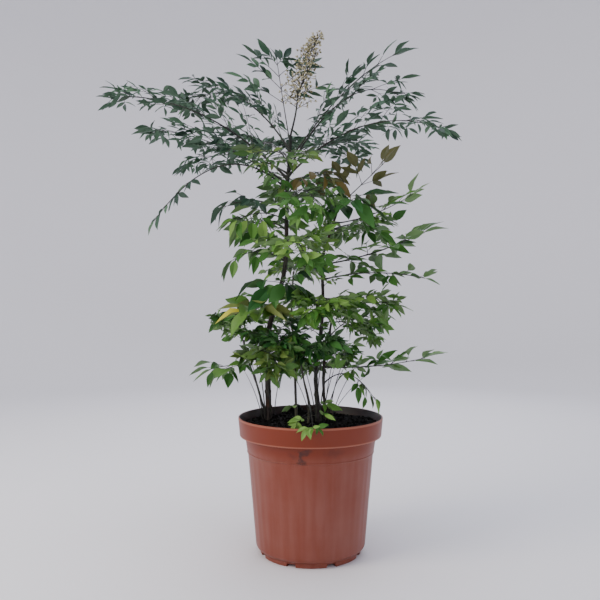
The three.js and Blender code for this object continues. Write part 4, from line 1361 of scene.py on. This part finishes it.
@dataclass
class Crown:
    """All that grows on the canes: leaflets by tone, and the axes of stalks by kind."""

    leaves: dict[Tone, Leaves] = field(default_factory=lambda: {tone: Leaves() for tone in Tone})
    pinnae: list[Array] = field(default_factory=list)
    petiolules: list[Array] = field(default_factory=list)

    def leaflet(self, tone: Tone, blade: Blade, keys: tuple[int, ...]) -> None:
        """Adds one leaflet, in the shade that its pair of leaflets is dealt or in another.

        Args:
            tone: its kind of colour.
            blade: its place.
            keys: keys of its draws.
        """
        other = one(*keys, Deal.SHADE_CHOICE) <= SPRAY.other_shade
        shade = one(*keys[:-1], Deal.OTHER_SHADE if other else Deal.SPRAY_SHADE)
        self.leaves[tone].blades.append(blade)
        self.leaves[tone].shades.append(int(UPPER_SHADES * shade))

    def spray(self, tone: Tone, blade: Blade, keys: tuple[int, ...]) -> None:
        """Adds a short stalk with a leaflet at its tip and one on either side.

        Args:
            tone: their kind of colour.
            blade: the spray's place.
            keys: keys of its draws.
        """
        root, along, wide, length = blade.root, blade.along, blade.wide, blade.length
        hub, end = (root + share * length * along for share in (SPRAY.hub, SPRAY.end))
        self.petiolules.append(np.stack([root, hub, end]))
        up = np.cross(along, wide)
        for side in (0, 1, -1):
            swings = draw(*keys, side, Deal.SPRAY + np.arange(4)) - 0.5
            angle = math.radians(SPRAY.spread * side + SPRAY.spread_swing * swings[0])
            out = unit(math.cos(angle) * along + math.sin(angle) * wide + SPRAY.lift_swing * swings[1] * up)
            across = rolled(unit(np.cross(up, out)), out, 2 * SPRAY.roll * swings[2])
            size = length * (SPRAY.side if side else SPRAY.tip)
            size *= SPRAY.size_least + SPRAY.size_swing * (swings[3] + 0.5)
            leaf = Blade(hub if side else end, out, across, size, blade.form)
            self.leaflet(tone, leaf, (*keys, side))

    def build_twigs(self, wood: Material) -> None:
        """Builds the pinnae's axes and the sprays' stalks as one piece.

        Args:
            wood: their material.
        """
        axes, stalks = np.array(self.pinnae), np.array(self.petiolules)
        taper = np.linspace(PINNA.foot_radius, PINNA.tip_radius, PINNA.points)
        radii = np.broadcast_to(taper, axes.shape[:2])
        thin = np.full(stalks.shape[:2], SPRAY.stalk_radius)
        twigs = Shape.join([Shape.tubes(axes, radii, 6), Shape.tubes(stalks, thin, 4)])
        place(twigs.build("twigs", [wood]), [])

    def build_leaflets(self, nodes: dict[Tone, list[str]]) -> None:
        """Builds each tone's leaflets as one piece.

        Args:
            nodes: for each tone, the solids whose place its leaflets take.
        """
        for number, (tone, leaves) in enumerate(self.leaves.items()):
            shape = leaves.shape(Deal.LEAVES + number)
            piece = shape.build(f"leaflets_{tone.label}", tone.materials(), crease=26)
            place(piece, nodes[tone])
            log.info("%s: %d leaflets", piece.name, len(leaves.blades))


# ---- fronds


@dataclass(frozen=True)
class FrondSpec:
    """One compound leaf.

    It leaves its cane at the height `at`. Its rachis ends `reach` away in plan at `bearing` and
    `rise` higher, bowed up by `arch`. `bare` is the share below its first pinnae, `pairs` the
    number of pinna pairs, `span` the longest pinna, `spray` its pairs of leaflets, `leaf` the
    length of a leaflet's place, `hang` how far leaflets turn down and `leafing` how full it is.
    The bare stalk of a `bough` is a solid of its own.
    """

    name: str
    cane: str
    at: float
    bearing: float
    reach: float
    rise: float
    arch: float
    bare: float
    pairs: int
    span: float
    spray: int
    leaf: float
    hang: float
    tone: Tone
    leafing: Leafing
    bough: bool = False


FRONDS = [FrondSpec(*row) for row in (
    ("top_left_long", "cane_tall", 724, 192, 316, 142, 84, 0.25, 5, 96, 2, 39, 0.1, DEEP, SPRAYED, True),
    ("top_right_front", "cane_tall", 729, 341, 292, 73, 97, 0.3, 4, 78, 2, 43, 0.15, DEEP, SPRAYED, True),
    ("top_right_long", "cane_tall", 742, 8, 226, 155, 130, 0.3, 4, 88, 2, 41, 0.1, DEEP, SPRAYED, True),
    ("top_right_rising", "cane_tall", 757, 352, 213, 204, 57, 0.6, 3, 34, 1, 40, 0, DEEP, AIRY, True),
    ("crown_leader", "cane_tall", 790, 122, 52, 180, -6, 0.5, 3, 96, 2, 33, 0, DEEP, CLOSE),
    ("top_left_high", "cane_tall", 779, 168, 196, 112, 100, 0.25, 4, 82, 2, 39, 0.1, DEEP, DENSE, True),
    ("top_left_low", "cane_tall", 714, 178, 256, 108, 40, 0.42, 4, 84, 2, 39, 0.2, DEEP, SPRAYED),
    ("top_left_back", "cane_tall", 734, 152, 235, 42, 55, 0.35, 3, 80, 2, 39, 0.3, DEEP, SPRAYED),
    ("drooping", "cane_tall", 703, 204, 262, -74, 149, 0.66, 3, 26, 1, 28, 0.4, DEEP, AIRY, True),
    ("top_front", "cane_tall", 750, 264, 168, -24, 40, 0.35, 3, 60, 1, 36, 0.1, LIME, SPRAYED),
    ("top_back_left", "cane_tall", 752, 112, 238, 76, 60, 0.32, 4, 84, 2, 38, 0.1, DEEP, DENSE),
    ("top_back_right", "cane_tall", 736, 58, 262, 74, 90, 0.32, 4, 84, 2, 40, 0.1, DEEP, DENSE),
    ("bronze", "cane_middle", 670, 321, 102, 70, 0, 0.25, 3, 52, 1, 36, 0, BRONZE, AIRY),
    ("big_leaf", "cane_middle", 656, 286, 92, 12, 12, 0.4, 2, 44, 1, 54, 0.5, DARK, AIRY),
    ("upper_middle", "cane_tall", 692, 306, 128, 26, 30, 0.3, 3, 62, 1, 34, 0.4, BRONZE, AIRY),
    ("right_upper", "cane_middle", 636, 342, 156, 50, -20, 0.25, 4, 36, 1, 38, 0.1, FRESH, AIRY),
    ("right_middle", "cane_middle", 556, 327, 216, 52, -16, 0.25, 4, 44, 2, 38, 0.1, MID, AIRY, True),
    ("right_long", "cane_middle", 526, 334, 208, 0, 24, 0.25, 4, 36, 1, 32, 0, MID, AIRY),
    ("right_inner", "cane_middle", 490, 347, 129, -8, -10, 0.25, 3, 50, 1, 35, 0.15, FRESH, DENSE),
    ("right_cluster", "cane_right", 440, 12, 84, -20, 20, 0.2, 3, 50, 1, 28, 0.25, FRESH, DENSE),
    ("right_lowest", "cane_right", 352, 333, 209, 26, -14, 0.35, 4, 34, 1, 38, -0.2, MID, AIRY),
    ("right_hanging", "cane_right", 318, 327, 116, -24, 68, 0.4, 3, 34, 1, 26, 0.8, FRESH, AIRY),
    ("pot_front", "shoot_front", 282, 272, 141, -12, 14, 0.3, 3, 26, 1, 30, 0.2, FRESH, TUFTED),
    ("front_dense_centre", "shoot_front", 370, 300, 92, 42, 10, 0.1, 3, 50, 1, 32, 0.25, DARK, LUSH),
    ("left_upper_front", "cane_tall", 642, 222, 122, -8, 29, 0.3, 3, 48, 1, 38, 0.7, FRESH, AIRY),
    ("left_upper_back", "cane_tall", 666, 174, 128, 5, 27, 0.35, 3, 54, 1, 34, 0.5, DEEP, AIRY),
    ("left_middle", "cane_tall", 562, 206, 112, 0, 37, 0.3, 3, 26, 1, 34, 0.7, MID, AIRY),
    ("yellowing", "cane_tall", 468, 250, 112, 4, 16, 0.5, 2, 40, 1, 52, 0, YELLOWING, AIRY),
    ("left_back", "cane_tall", 452, 156, 117, 2, 20, 0.3, 3, 44, 1, 32, 0.3, MID, LUSH),
    ("left_lowest", "shoot_left", 350, 204, 82, -4, 8, 0.2, 3, 44, 1, 36, 0.3, MID, AIRY),
    ("left_cluster", "shoot_left", 394, 282, 84, 28, 20, 0.12, 3, 46, 1, 30, 0.25, FRESH, DENSE),
    ("front_dense_left", "cane_tall", 416, 286, 134, -4, 16, 0.25, 3, 56, 1, 32, 0.25, DARK, LUSH),
    ("centre_dark", "cane_tall", 676, 291, 160, -20, 50, 0.3, 4, 60, 1, 38, 0.7, MID, SPRAYED),
    ("front_light", "cane_tall", 578, 280, 200, -12, 44, 0.35, 4, 60, 2, 40, 0.25, FRESH, SPRAYED),
    ("front_dark", "cane_tall", 512, 277, 132, 2, 14, 0.35, 2, 56, 1, 44, 0.5, DARK, AIRY),
    ("front_centre", "cane_middle", 464, 263, 150, 12, 36, 0.3, 3, 62, 1, 36, 0.25, FRESH, LUSH),
    ("front_low", "cane_tall", 366, 277, 176, 10, 44, 0.35, 3, 52, 1, 36, 0.15, LIME, LUSH),
    ("back_left_high", "cane_tall", 624, 122, 158, 16, 30, 0.3, 3, 58, 1, 42, 0.3, MID, DENSE),
    ("back_right_high", "cane_middle", 618, 52, 168, 20, 30, 0.3, 3, 56, 1, 42, 0.3, MID, DENSE),
    ("back_tip", "shoot_back", 543, 84, 112, 26, 20, 0.15, 3, 56, 1, 42, 0.3, FRESH, DENSE),
    ("back_right_low", "cane_right", 412, 48, 142, 36, 30, 0.3, 3, 52, 1, 38, 0.4, MID, DENSE),
    ("back_low", "shoot_back", 424, 108, 136, 26, 24, 0.25, 3, 54, 1, 38, 0.4, MID, DENSE),
    ("back_centre", "cane_tall", 712, 84, 176, 4, 44, 0.3, 4, 60, 1, 42, 0.3, MID, SPRAYED),
    ("back_lowest", "cane_middle", 336, 74, 158, 22, 36, 0.35, 3, 54, 1, 40, 0.4, FRESH, DENSE),
)]


class Frond:
    """One compound leaf, grown by rule from its spec."""

    def __init__(self, spec: FrondSpec, index: int, axis: Path) -> None:
        """Lays the rachis from the cane's axis.

        Args:
            spec: the frond's own numbers.
            index: its place in the list of fronds, which is the first key of its draws.
            axis: its cane's axis.
        """
        self.spec = spec
        self.index = index
        self.habit = ERECT if spec.name in ERECT_FRONDS else FLAT if index < FLAT_FRONDS else LOOSE
        self.form = BROAD if spec.name in BROAD_FRONDS else self.habit.form
        start = axis.at_height(spec.at)
        bearing = math.radians(spec.bearing)
        offset = np.array([spec.reach * math.cos(bearing), spec.reach * math.sin(bearing), spec.rise])
        self.rachis = Path.bow(start, start + offset / 2 + spec.arch * UP, start + offset)

    def node_at(self, order: int) -> float:
        """Place of a node along the rachis."""
        bare = self.spec.bare
        return bare + (PINNA.last_node - bare) * (order / self.spec.pairs) ** PINNA.crowding

    def rachis_shape(self) -> Shape:
        """The rachis, thick where it clasps the cane and swollen at each node.

        Its radius goes from the root's to 0.55 mm with the share of its length to the power of
        0.8. It widens by 45% in a bell round each node and by 90% where it leaves the cane.

        Returns:
            The rachis as one tube.
        """
        nodes = np.array([self.node_at(order) for order in range(self.spec.pairs)])
        near = (nodes[:, None] + np.array([-0.02, 0, 0.02])).ravel()
        share = np.unique(np.concatenate([np.linspace(0, 1, 28), near]))
        root = 1.0 + 0.0029 * (self.spec.reach + self.spec.span) * (1.25 if self.spec.bough else 0.8)
        radius = root + (0.55 - root) * share**0.8
        swell = np.exp(-(((share[:, None] - nodes) / 0.012) ** 2)).sum(axis=1)
        clasp = np.exp(-share * self.rachis.length / 7)
        return Shape.tube(self.rachis, share, radius * (1 + 0.45 * swell + 0.9 * clasp), 8)

    def frame_at(self, share: float) -> tuple[Array, Array, Array]:
        """Along the rachis, level to its side, and up from its plane."""
        along = self.rachis.along(share)
        side = unit(np.cross(along, UP))
        return along, side, np.cross(side, along)

    def grow(self, crown: Crown) -> None:
        """Adds the pinnae and leaflets to the crown."""
        along, _, face = self.frame_at(1.0)
        self.grow_leaflet(crown, self.rachis.at(1.0), along, face, 0, (self.index, self.spec.pairs, 0, 0))
        for order in range(self.spec.pairs + 1):
            for side in (1, -1):
                self.grow_pinna(crown, order, side)

    def grow_pinna(self, crown: Crown, order: int, side: int) -> None:
        """A twig at a node, with pairs of leaflets and one at its tip.

        Args:
            crown: takes the twig and the leaflets.
            order: the node's number, from the cane out.
            side: 1 or -1, for the right or left of the rachis.
        """
        spec, habit = self.spec, self.habit
        keys = (self.index, order, side)
        node = self.node_at(order)
        along, level, face = self.frame_at(node)
        outward = order / spec.pairs
        length = spec.span * (1 - PINNA.length_fall * outward)
        length *= PINNA.length_least + PINNA.length_swing * one(*keys, 1)
        length *= PINNA.end_share if order == spec.pairs else 1
        angle = math.radians(PINNA.angle - PINNA.angle_fall * outward + sway(PINNA.angle_swing, *keys, 2))
        lift = PINNA.lift - PINNA.hang_share * spec.hang + sway(habit.twig_swing, *keys, 3)
        way = unit(math.cos(angle) * along + side * math.sin(angle) * level + lift * face)
        root = self.rachis.at(node) + side * PINNA.stagger * along
        tip = root + length * way
        axis = Path.bow(root, (root + tip) / 2 + PINNA.sag * length * UP, tip)
        crown.pinnae.append(axis.at(np.linspace(0, 1, PINNA.points)))
        self.grow_leaflet(crown, tip, way, face, 0, (*keys, 0))
        pairs = max(math.ceil(spec.spray * (1 - PINNA.spray_fall * outward) + spec.leafing.fullness), 0)
        for pair in range(pairs):
            spot = axis.at(spec.leafing.outer_pair - PINNA.pair_stretch / pairs * pair)
            for hand in (1, -1):
                self.grow_leaflet(crown, spot, way, face, hand, (*keys, pair + 1))

    def grow_leaflet(
        self, crown: Crown, spot: Array, way: Array, face: Array, side: int, keys: tuple[int, ...]
    ) -> None:
        """A leaflet, or a spray of three, at a spot on a twig.

        Args:
            crown: takes it.
            spot: place on the twig's axis.
            way: the twig's direction.
            face: up from the frond's plane.
            side: 1 or -1 for either side of the twig, or 0 at its tip.
            keys: keys of the draws.
        """
        spec, habit = self.spec, self.habit
        face = unit(face + habit.levelling * UP)
        across = unit(np.cross(face, way))
        angle = math.radians(side * LEAF.spread + sway(LEAF.spread_swing, *keys, side, 1))
        length = spec.leaf * (LEAF.tip_longer if side == 0 else 1)
        length *= LEAF.length_least + LEAF.length_swing * one(*keys, side, 2)
        droop = spec.hang + sway(habit.leaf_swing, *keys, side, 3)
        along = unit(math.cos(angle) * way + math.sin(angle) * across - droop * UP)
        wide = rolled(unit(np.cross(face, along)), along, sway(habit.roll * 2, *keys, side, 4))
        blade = Blade(spot + side * PINNA.stagger * way, along, wide, length, self.form)
        add = crown.spray if spec.leafing.sprayed else crown.leaflet
        add(spec.tone, blade, (*keys, side))


@dataclass(frozen=True)
class AxilTufts:
    """Short leafy shoots that a cane bears between its fronds, turned round it.

    They stand from the height `low` to `high`. `reach` is a shoot's mean length, `leaf` the length
    of a leaflet's place, and `angle` is in degrees.
    """

    cane: str
    low: float
    high: float
    count: int
    tone: Tone
    reach: float = 46
    leaf: float = 30
    angle: float = 52

    def grow(self, crown: Crown, axis: Path, index: int) -> None:
        """Adds each shoot's stalk, with a spray at its tip and one on either side.

        Args:
            crown: takes the stalks and the leaflets.
            axis: the cane's axis.
            index: place in the list of tufts.
        """
        for order in range(self.count):
            keys = (Deal.AXIL_TUFT + index, order, 0)
            swings = draw(*keys, np.arange(4))
            root = axis.at_height(self.low + (self.high - self.low) * (order + swings[0]) / self.count)
            bearing = math.radians(LEAF_TURN * (order + swings[1] / 4) + 100 * index)
            out = unit(np.array([math.cos(bearing), math.sin(bearing), 0.1 + 0.6 * swings[2]]))
            tip = root + self.reach * (0.6 + 0.8 * swings[3]) * out
            stalk = Path.bow(root, (root + tip) / 2 + 2 * UP, tip)
            crown.pinnae.append(stalk.at(np.linspace(0, 1, PINNA.points)))
            across = unit(np.cross(UP, out))
            for side, share in ((0, 1.0), (1, 0.6), (-1, 0.6)):
                angle = math.radians(side * self.angle)
                way = math.cos(angle) * out + math.sin(angle) * across
                blade = Blade(stalk.at(share), way, unit(np.cross(UP, way)), self.leaf, LOOSE.form)
                crown.spray(self.tone, blade, (*keys, side))


AXIL_TUFTS = [
    AxilTufts("cane_tall", 450, 700, 9, MID),
    AxilTufts("cane_middle", 390, 640, 9, FRESH),
    AxilTufts("cane_right", 330, 440, 3, DARK),
]


@dataclass(frozen=True)
class BasalStalk:
    """A thin young shoot from the compost, with one spray of leaflets at its tip."""

    foot: tuple[float, float]
    tip: Point
    radius: float = 1.3
    leaf: float = 39
    buried: float = 4

    def grow(self, crown: Crown, top: float, index: int) -> Shape:
        """The shoot, bowed outwards.

        Args:
            crown: takes the leaflets.
            top: level of the compost.
            index: place in the list of shoots.

        Returns:
            The shoot's own tube.
        """
        foot = np.array([*self.foot, top - self.buried])
        tip = np.array(self.tip, float)
        axis = Path.bow(foot, foot * [0.7, 0.7, 0.45] + tip * [0.3, 0.3, 0.55], tip)
        way = axis.along(1.0)
        blade = Blade(tip, way, unit(np.cross(way, UP)), self.leaf, LOOSE.form)
        crown.spray(MID, blade, (Deal.BASAL_STALK + index, 1, 1))
        share = np.linspace(0, 1, 16)
        return Shape.tube(axis, share, self.radius * (1 - 0.5 * share), 6)


BASAL_STALKS = [BasalStalk(*row) for row in (
    ((-96, 60), (-116, 50, 352)), ((-74, 66), (-60, 58, 338), 1.1), ((-98, 76), (-132, 96, 330), 1.0),
    ((6, 26), (-22, 12, 356)), ((2, 34), (-38, 44, 344), 1.0), ((22, 14), (8, -10, 350), 1.1),
    ((36, 34), (60, 18, 352)), ((42, 46), (88, 40, 348), 1.0), ((28, 56), (50, 84, 372), 1.1),
    ((38, 30), (96, -4, 330), 0.9), ((-90, 56), (-104, 40, 366), 1.5), ((-92, 68), (-118, 70, 340), 1.3),
    ((-78, 54), (-90, 30, 352), 1.2), ((-86, 70), (-98, 86, 372), 1.2), ((10, 14), (20, -8, 362), 1.5),
    ((18, 26), (34, 20, 366), 1.4), ((12, 26), (-8, 30, 340), 1.3), ((30, 40), (66, 52, 344), 1.2),
    ((24, 24), (44, -4, 346), 1.2),
)]


# ---- flower panicle


@dataclass
class Panicle:
    """The upright flower head: a stem with branches turned round it, each set with buds."""

    foot: Array
    knots: tuple[Point, ...] = ((-30, 10, 846), (-21, 8, 898), (-8, 5, 930), (0, 2, 968), (14, 0, 996))
    key: int = 97
    stem_radius: float = 2.0
    tip_radius: float = 0.6
    first_branch: float = 0.27
    last_branch: float = 0.99
    branches: int = 40
    branch_radii: tuple[float, ...] = (0.75, 0.65, 0.6, 0.5, 0.4)
    longest: float = 36
    length_fall: float = 0.72
    length_least: float = 0.75
    length_swing: float = 0.5
    lift: float = 0.55
    lift_swing: float = 0.4
    twiglets: int = 8
    twiglet_least: float = 4
    twiglet_swing: float = 6
    twiglet_radius: float = 0.35
    buds_together: int = 3
    bud_rows: tuple[float, ...] = (0.12, 0.35, 0.62, 0.86)
    bud_sides: int = 6
    bud_length: float = 4.8
    bud_width: float = 2.7
    unripe: float = 0.25

    def build(self) -> None:
        """Builds the stalks and the buds, each kind as one piece.

        Branch n leaves the stem at a turn of 137.5 n degrees, shorter the higher it stands. Its
        twiglets turn round it in the same way.
        """
        stem = Path.through([tuple(self.foot), *self.knots])
        share = np.linspace(0, 1, 40)
        stalks = [Shape.tube(stem, share, self.stem_radius + (self.tip_radius - self.stem_radius) * share, 8)]
        n = np.arange(self.branches)
        along_stem = n / (self.branches - 1)
        roots = stem.at(self.first_branch + (self.last_branch - self.first_branch) * along_stem)
        lengths = self.longest * (1 - self.length_fall * along_stem)
        lengths = lengths * (self.length_least + self.length_swing * draw(self.key, n, 1))
        angle = np.radians(LEAF_TURN) * n
        lift = self.lift + self.lift_swing * draw(self.key, n, 2)
        ways = unit(np.stack([np.cos(angle), np.sin(angle), lift], axis=-1))
        spans = (lengths[:, None] * ways)[:, None]
        t = np.linspace(0, 1, len(self.branch_radii))[:, None]
        radii = np.broadcast_to(self.branch_radii, (self.branches, len(self.branch_radii)))
        stalks.append(Shape.tubes(roots[:, None] + t * spans, radii, 5))
        k = np.arange(self.twiglets)
        starts = roots[:, None] + ((k + 1) / self.twiglets)[:, None] * spans
        spin = np.radians(LEAF_TURN) * (k[None] + 3 * n[:, None])
        side = unit(np.cross(ways, UP))
        fan = turned(side[:, None], np.cross(side, ways)[:, None], spin)
        out = unit(ways[:, None] * 0.7 + fan + 0.3 * UP)
        reach = self.twiglet_least + self.twiglet_swing * draw(self.key, n[:, None], k[None], 3)
        ends = starts + reach[..., None] * out
        axes = np.stack([starts, (starts + ends) / 2, ends], axis=2).reshape(-1, 3, 3)
        stalks.append(Shape.tubes(axes, np.full((len(axes), 3), self.twiglet_radius), 4))
        wood = Stalk("waxy_young_wood").material()
        place(Shape.join(stalks).build("panicle_stalks", [wood]), [])
        ripe = Blossom("waxy_flower_bud").material()
        # The unripe buds' darker patches are painted shade as well.
        green = Blossom("waxy_unripe_bud", "#6e6540", 0.6, shaded="#575834").material()
        buds = self.buds(ends.reshape(-1, 3), out.reshape(-1, 3))
        place(buds.build("panicle_buds", [ripe, green], crease=60), ["flower_panicle"])

    def buds(self, roots: Array, ways: Array) -> Shape:
        """Egg-shaped buds, several together at the end of each stalk.

        A bud's radius at a share v of its length is W sin(pi v)^0.8 / 2, widest near its middle.

        Args:
            roots: the stalks' ends, of shape (stalks, 3).
            ways: their directions.

        Returns:
            The buds, the ripe ones in slot 0 and the unripe in slot 1.
        """
        roots, ways = (np.repeat(rows, self.buds_together, axis=0) for rows in (roots, ways))
        n = np.arange(len(roots))
        spread = unit(draw(self.key, n[:, None] // 90, n[:, None] % 90, np.arange(3) + 5) - 0.5)
        ways = unit(ways + 0.9 * spread)
        size = 0.7 + 0.5 * draw(self.key, n // 90, n % 90, 9)
        v = np.array(self.bud_rows)
        radius = self.bud_width / 2 * np.sin(np.pi * v) ** 0.8
        side = unit(np.cross(ways, np.array([0.3, 0.5, 0.81])))
        circle = turned(side[:, None], np.cross(ways, side)[:, None], turns(self.bud_sides))
        centres = roots[:, None] + (self.bud_length * v)[:, None] * (size[:, None] * ways)[:, None]
        rings = centres[:, :, None] + (size[:, None] * radius)[..., None, None] * circle[:, None]
        kind = (draw(self.key, n // 90, n % 90, 10) < self.unripe).astype(int)
        strips = np.repeat(kind[:, None], self.bud_sides, axis=1)
        return Shape.skin(rings, roots, roots + (self.bud_length * size)[:, None] * ways, strips)


# ---- studio


@dataclass(frozen=True)
class Lamp:
    """A square soft box: its name, its place, its side, its power in watts and its colour."""

    name: str
    at: Point
    size: float
    power: float
    colour: str

    def build(self, aim: Point = (0, 0, 480)) -> None:
        """Hangs the lamp, facing the crown's middle and hidden from the camera.

        Args:
            aim: the crown's middle.
        """
        data = bpy.data.lights.new(self.name, "AREA")
        data.size = self.size * MM
        data.energy = self.power
        data.color = linear(self.colour)[:3]
        lamp = add_object(self.name, data)
        lamp.location = [value * MM for value in self.at]
        x, y, z = np.array(aim) - np.array(self.at)
        lamp.rotation_euler = (math.atan2(float(np.hypot(x, y)), -z), 0, math.atan2(y, x) - math.pi / 2)
        lamp.visible_camera = False


@dataclass
class Studio:
    """A pale round studio whose floor curves up into its wall, soft lamps and the camera.

    The camera stands at the plant's mid height, level, so its picture keeps uprights upright. The
    key lamp is at the front left, the fill at the right, and the sky is pale.
    """

    eye: Point = (-20.4, -1343, 486)
    focal_share: float = 690 / 600
    sensor: float = 36
    floor_radius: float = 2600
    cove: float = 900
    wall_height: float = 3600
    thickness: float = 30
    columns: int = 96
    lamps: tuple[Lamp, ...] = (
        Lamp("key", (-2050, -1050, 1700), 1200, 44, "#fff4e6"),
        Lamp("fill", (1700, -1500, 1200), 1500, 5.5, "#eef2ff"),
        Lamp("top", (-100, 100, 2500), 1800, 25, "#f6f8ff"),
        Lamp("back", (400, 2000, 1700), 1600, 16, "#f4f4ff"),
    )
    sky: str = "#dfe3ee"
    sky_strength: float = 0.78

    def build(self) -> None:
        """Sets up the camera, looking level along +Y, the room, the lamps and the sky."""
        data = bpy.data.cameras.new("camera")
        data.sensor_width = self.sensor
        data.lens = self.sensor * self.focal_share
        camera = add_object("camera", data)
        camera.location = [value * MM for value in self.eye]
        camera.rotation_euler = (math.pi / 2, 0, 0)
        bpy.context.scene.camera = camera
        self.room()
        for lamp in self.lamps:
            lamp.build()
        world = bpy.data.worlds.new("studio_air")
        world.use_nodes = True
        sky = world.node_tree.nodes["Background"]
        sky.inputs["Color"].default_value = linear(self.sky)
        sky.inputs["Strength"].default_value = self.sky_strength
        bpy.context.scene.world = world

    def room(self) -> None:
        """The floor and wall: a section [r, z] turned round the axis, closed below as a shell."""
        bend = np.radians(np.linspace(-90, 0, 16))
        cove = np.stack([self.floor_radius + self.cove * np.cos(bend), self.cove * (1 + np.sin(bend))], axis=1)
        wall, outer = self.floor_radius + self.cove, self.floor_radius + self.cove + self.thickness
        rows = np.vstack([
            [[outer, -self.thickness], [outer, self.wall_height], [wall, self.wall_height]],
            cove[::-1],
            [[self.floor_radius / 2, 0]],
        ])
        q = turns(self.columns)
        upright = np.repeat(rows[:, 1:], self.columns, axis=1)
        rings = np.stack([rows[:, :1] * np.cos(q), rows[:, :1] * np.sin(q), upright], axis=-1)
        shape = Shape.skin(rings[None], np.array([[0, 0, -self.thickness]]), np.zeros((1, 3)))
        paint = PaintedWall("matt_emulsion_rolled").material()
        shape.build("studio_floor", [paint], crease=60)


# ---- the whole plant


def build_foliage(axes: dict[str, Path], top: float) -> None:
    """Grows every frond, tuft and young shoot, and builds the stalks and the leaflets.

    Args:
        axes: the canes' axes by name.
        top: level of the compost.
    """
    crown = Crown()
    fronds = [Frond(spec, index, axes[spec.cane]) for index, spec in enumerate(FRONDS)]
    for frond in fronds:
        frond.grow(crown)
    for index, tufts in enumerate(AXIL_TUFTS):
        tufts.grow(crown, axes[tufts.cane], index)
    shoots = [stalk.grow(crown, top, index) for index, stalk in enumerate(BASAL_STALKS)]
    wood = Stalk("waxy_young_wood").material()
    boughs = [frond for frond in fronds if frond.spec.bough]
    piece = Shape.join([frond.rachis_shape() for frond in boughs]).build("boughs", [wood])
    place(piece, [f"bough_{frond.spec.name}" for frond in boughs])
    rest = [frond.rachis_shape() for frond in fronds if not frond.spec.bough]
    place(Shape.join(rest + shoots).build("rachises", [wood]), [])
    crown.build_twigs(wood)
    crown.build_leaflets({tone: [f"frond_{spec.name}" for spec in FRONDS if spec.tone is tone] for tone in Tone})


def corners(bounds: tuple) -> list[list[float]]:
    """A box's two corners as plain lists of numbers."""
    return [[float(value) for value in corner] for corner in bounds]


def main() -> None:
    """Loads the frame and builds the studio, the pot and the plant round it."""
    logging.basicConfig(level=logging.INFO, format="%(name)s %(message)s")
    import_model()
    Studio().build()
    pot = Pot.from_frame()
    pot.build()
    bed = CompostBed.from_frame(pot)
    bed.build()
    for cane in CANES:
        cane.build()
    axes = {cane.name: cane.axis for cane in CANES}
    build_foliage(axes, bed.top)
    Panicle(foot=axes["cane_tall"].at(1.0)).build()


if __name__ == "__main__":
    main()
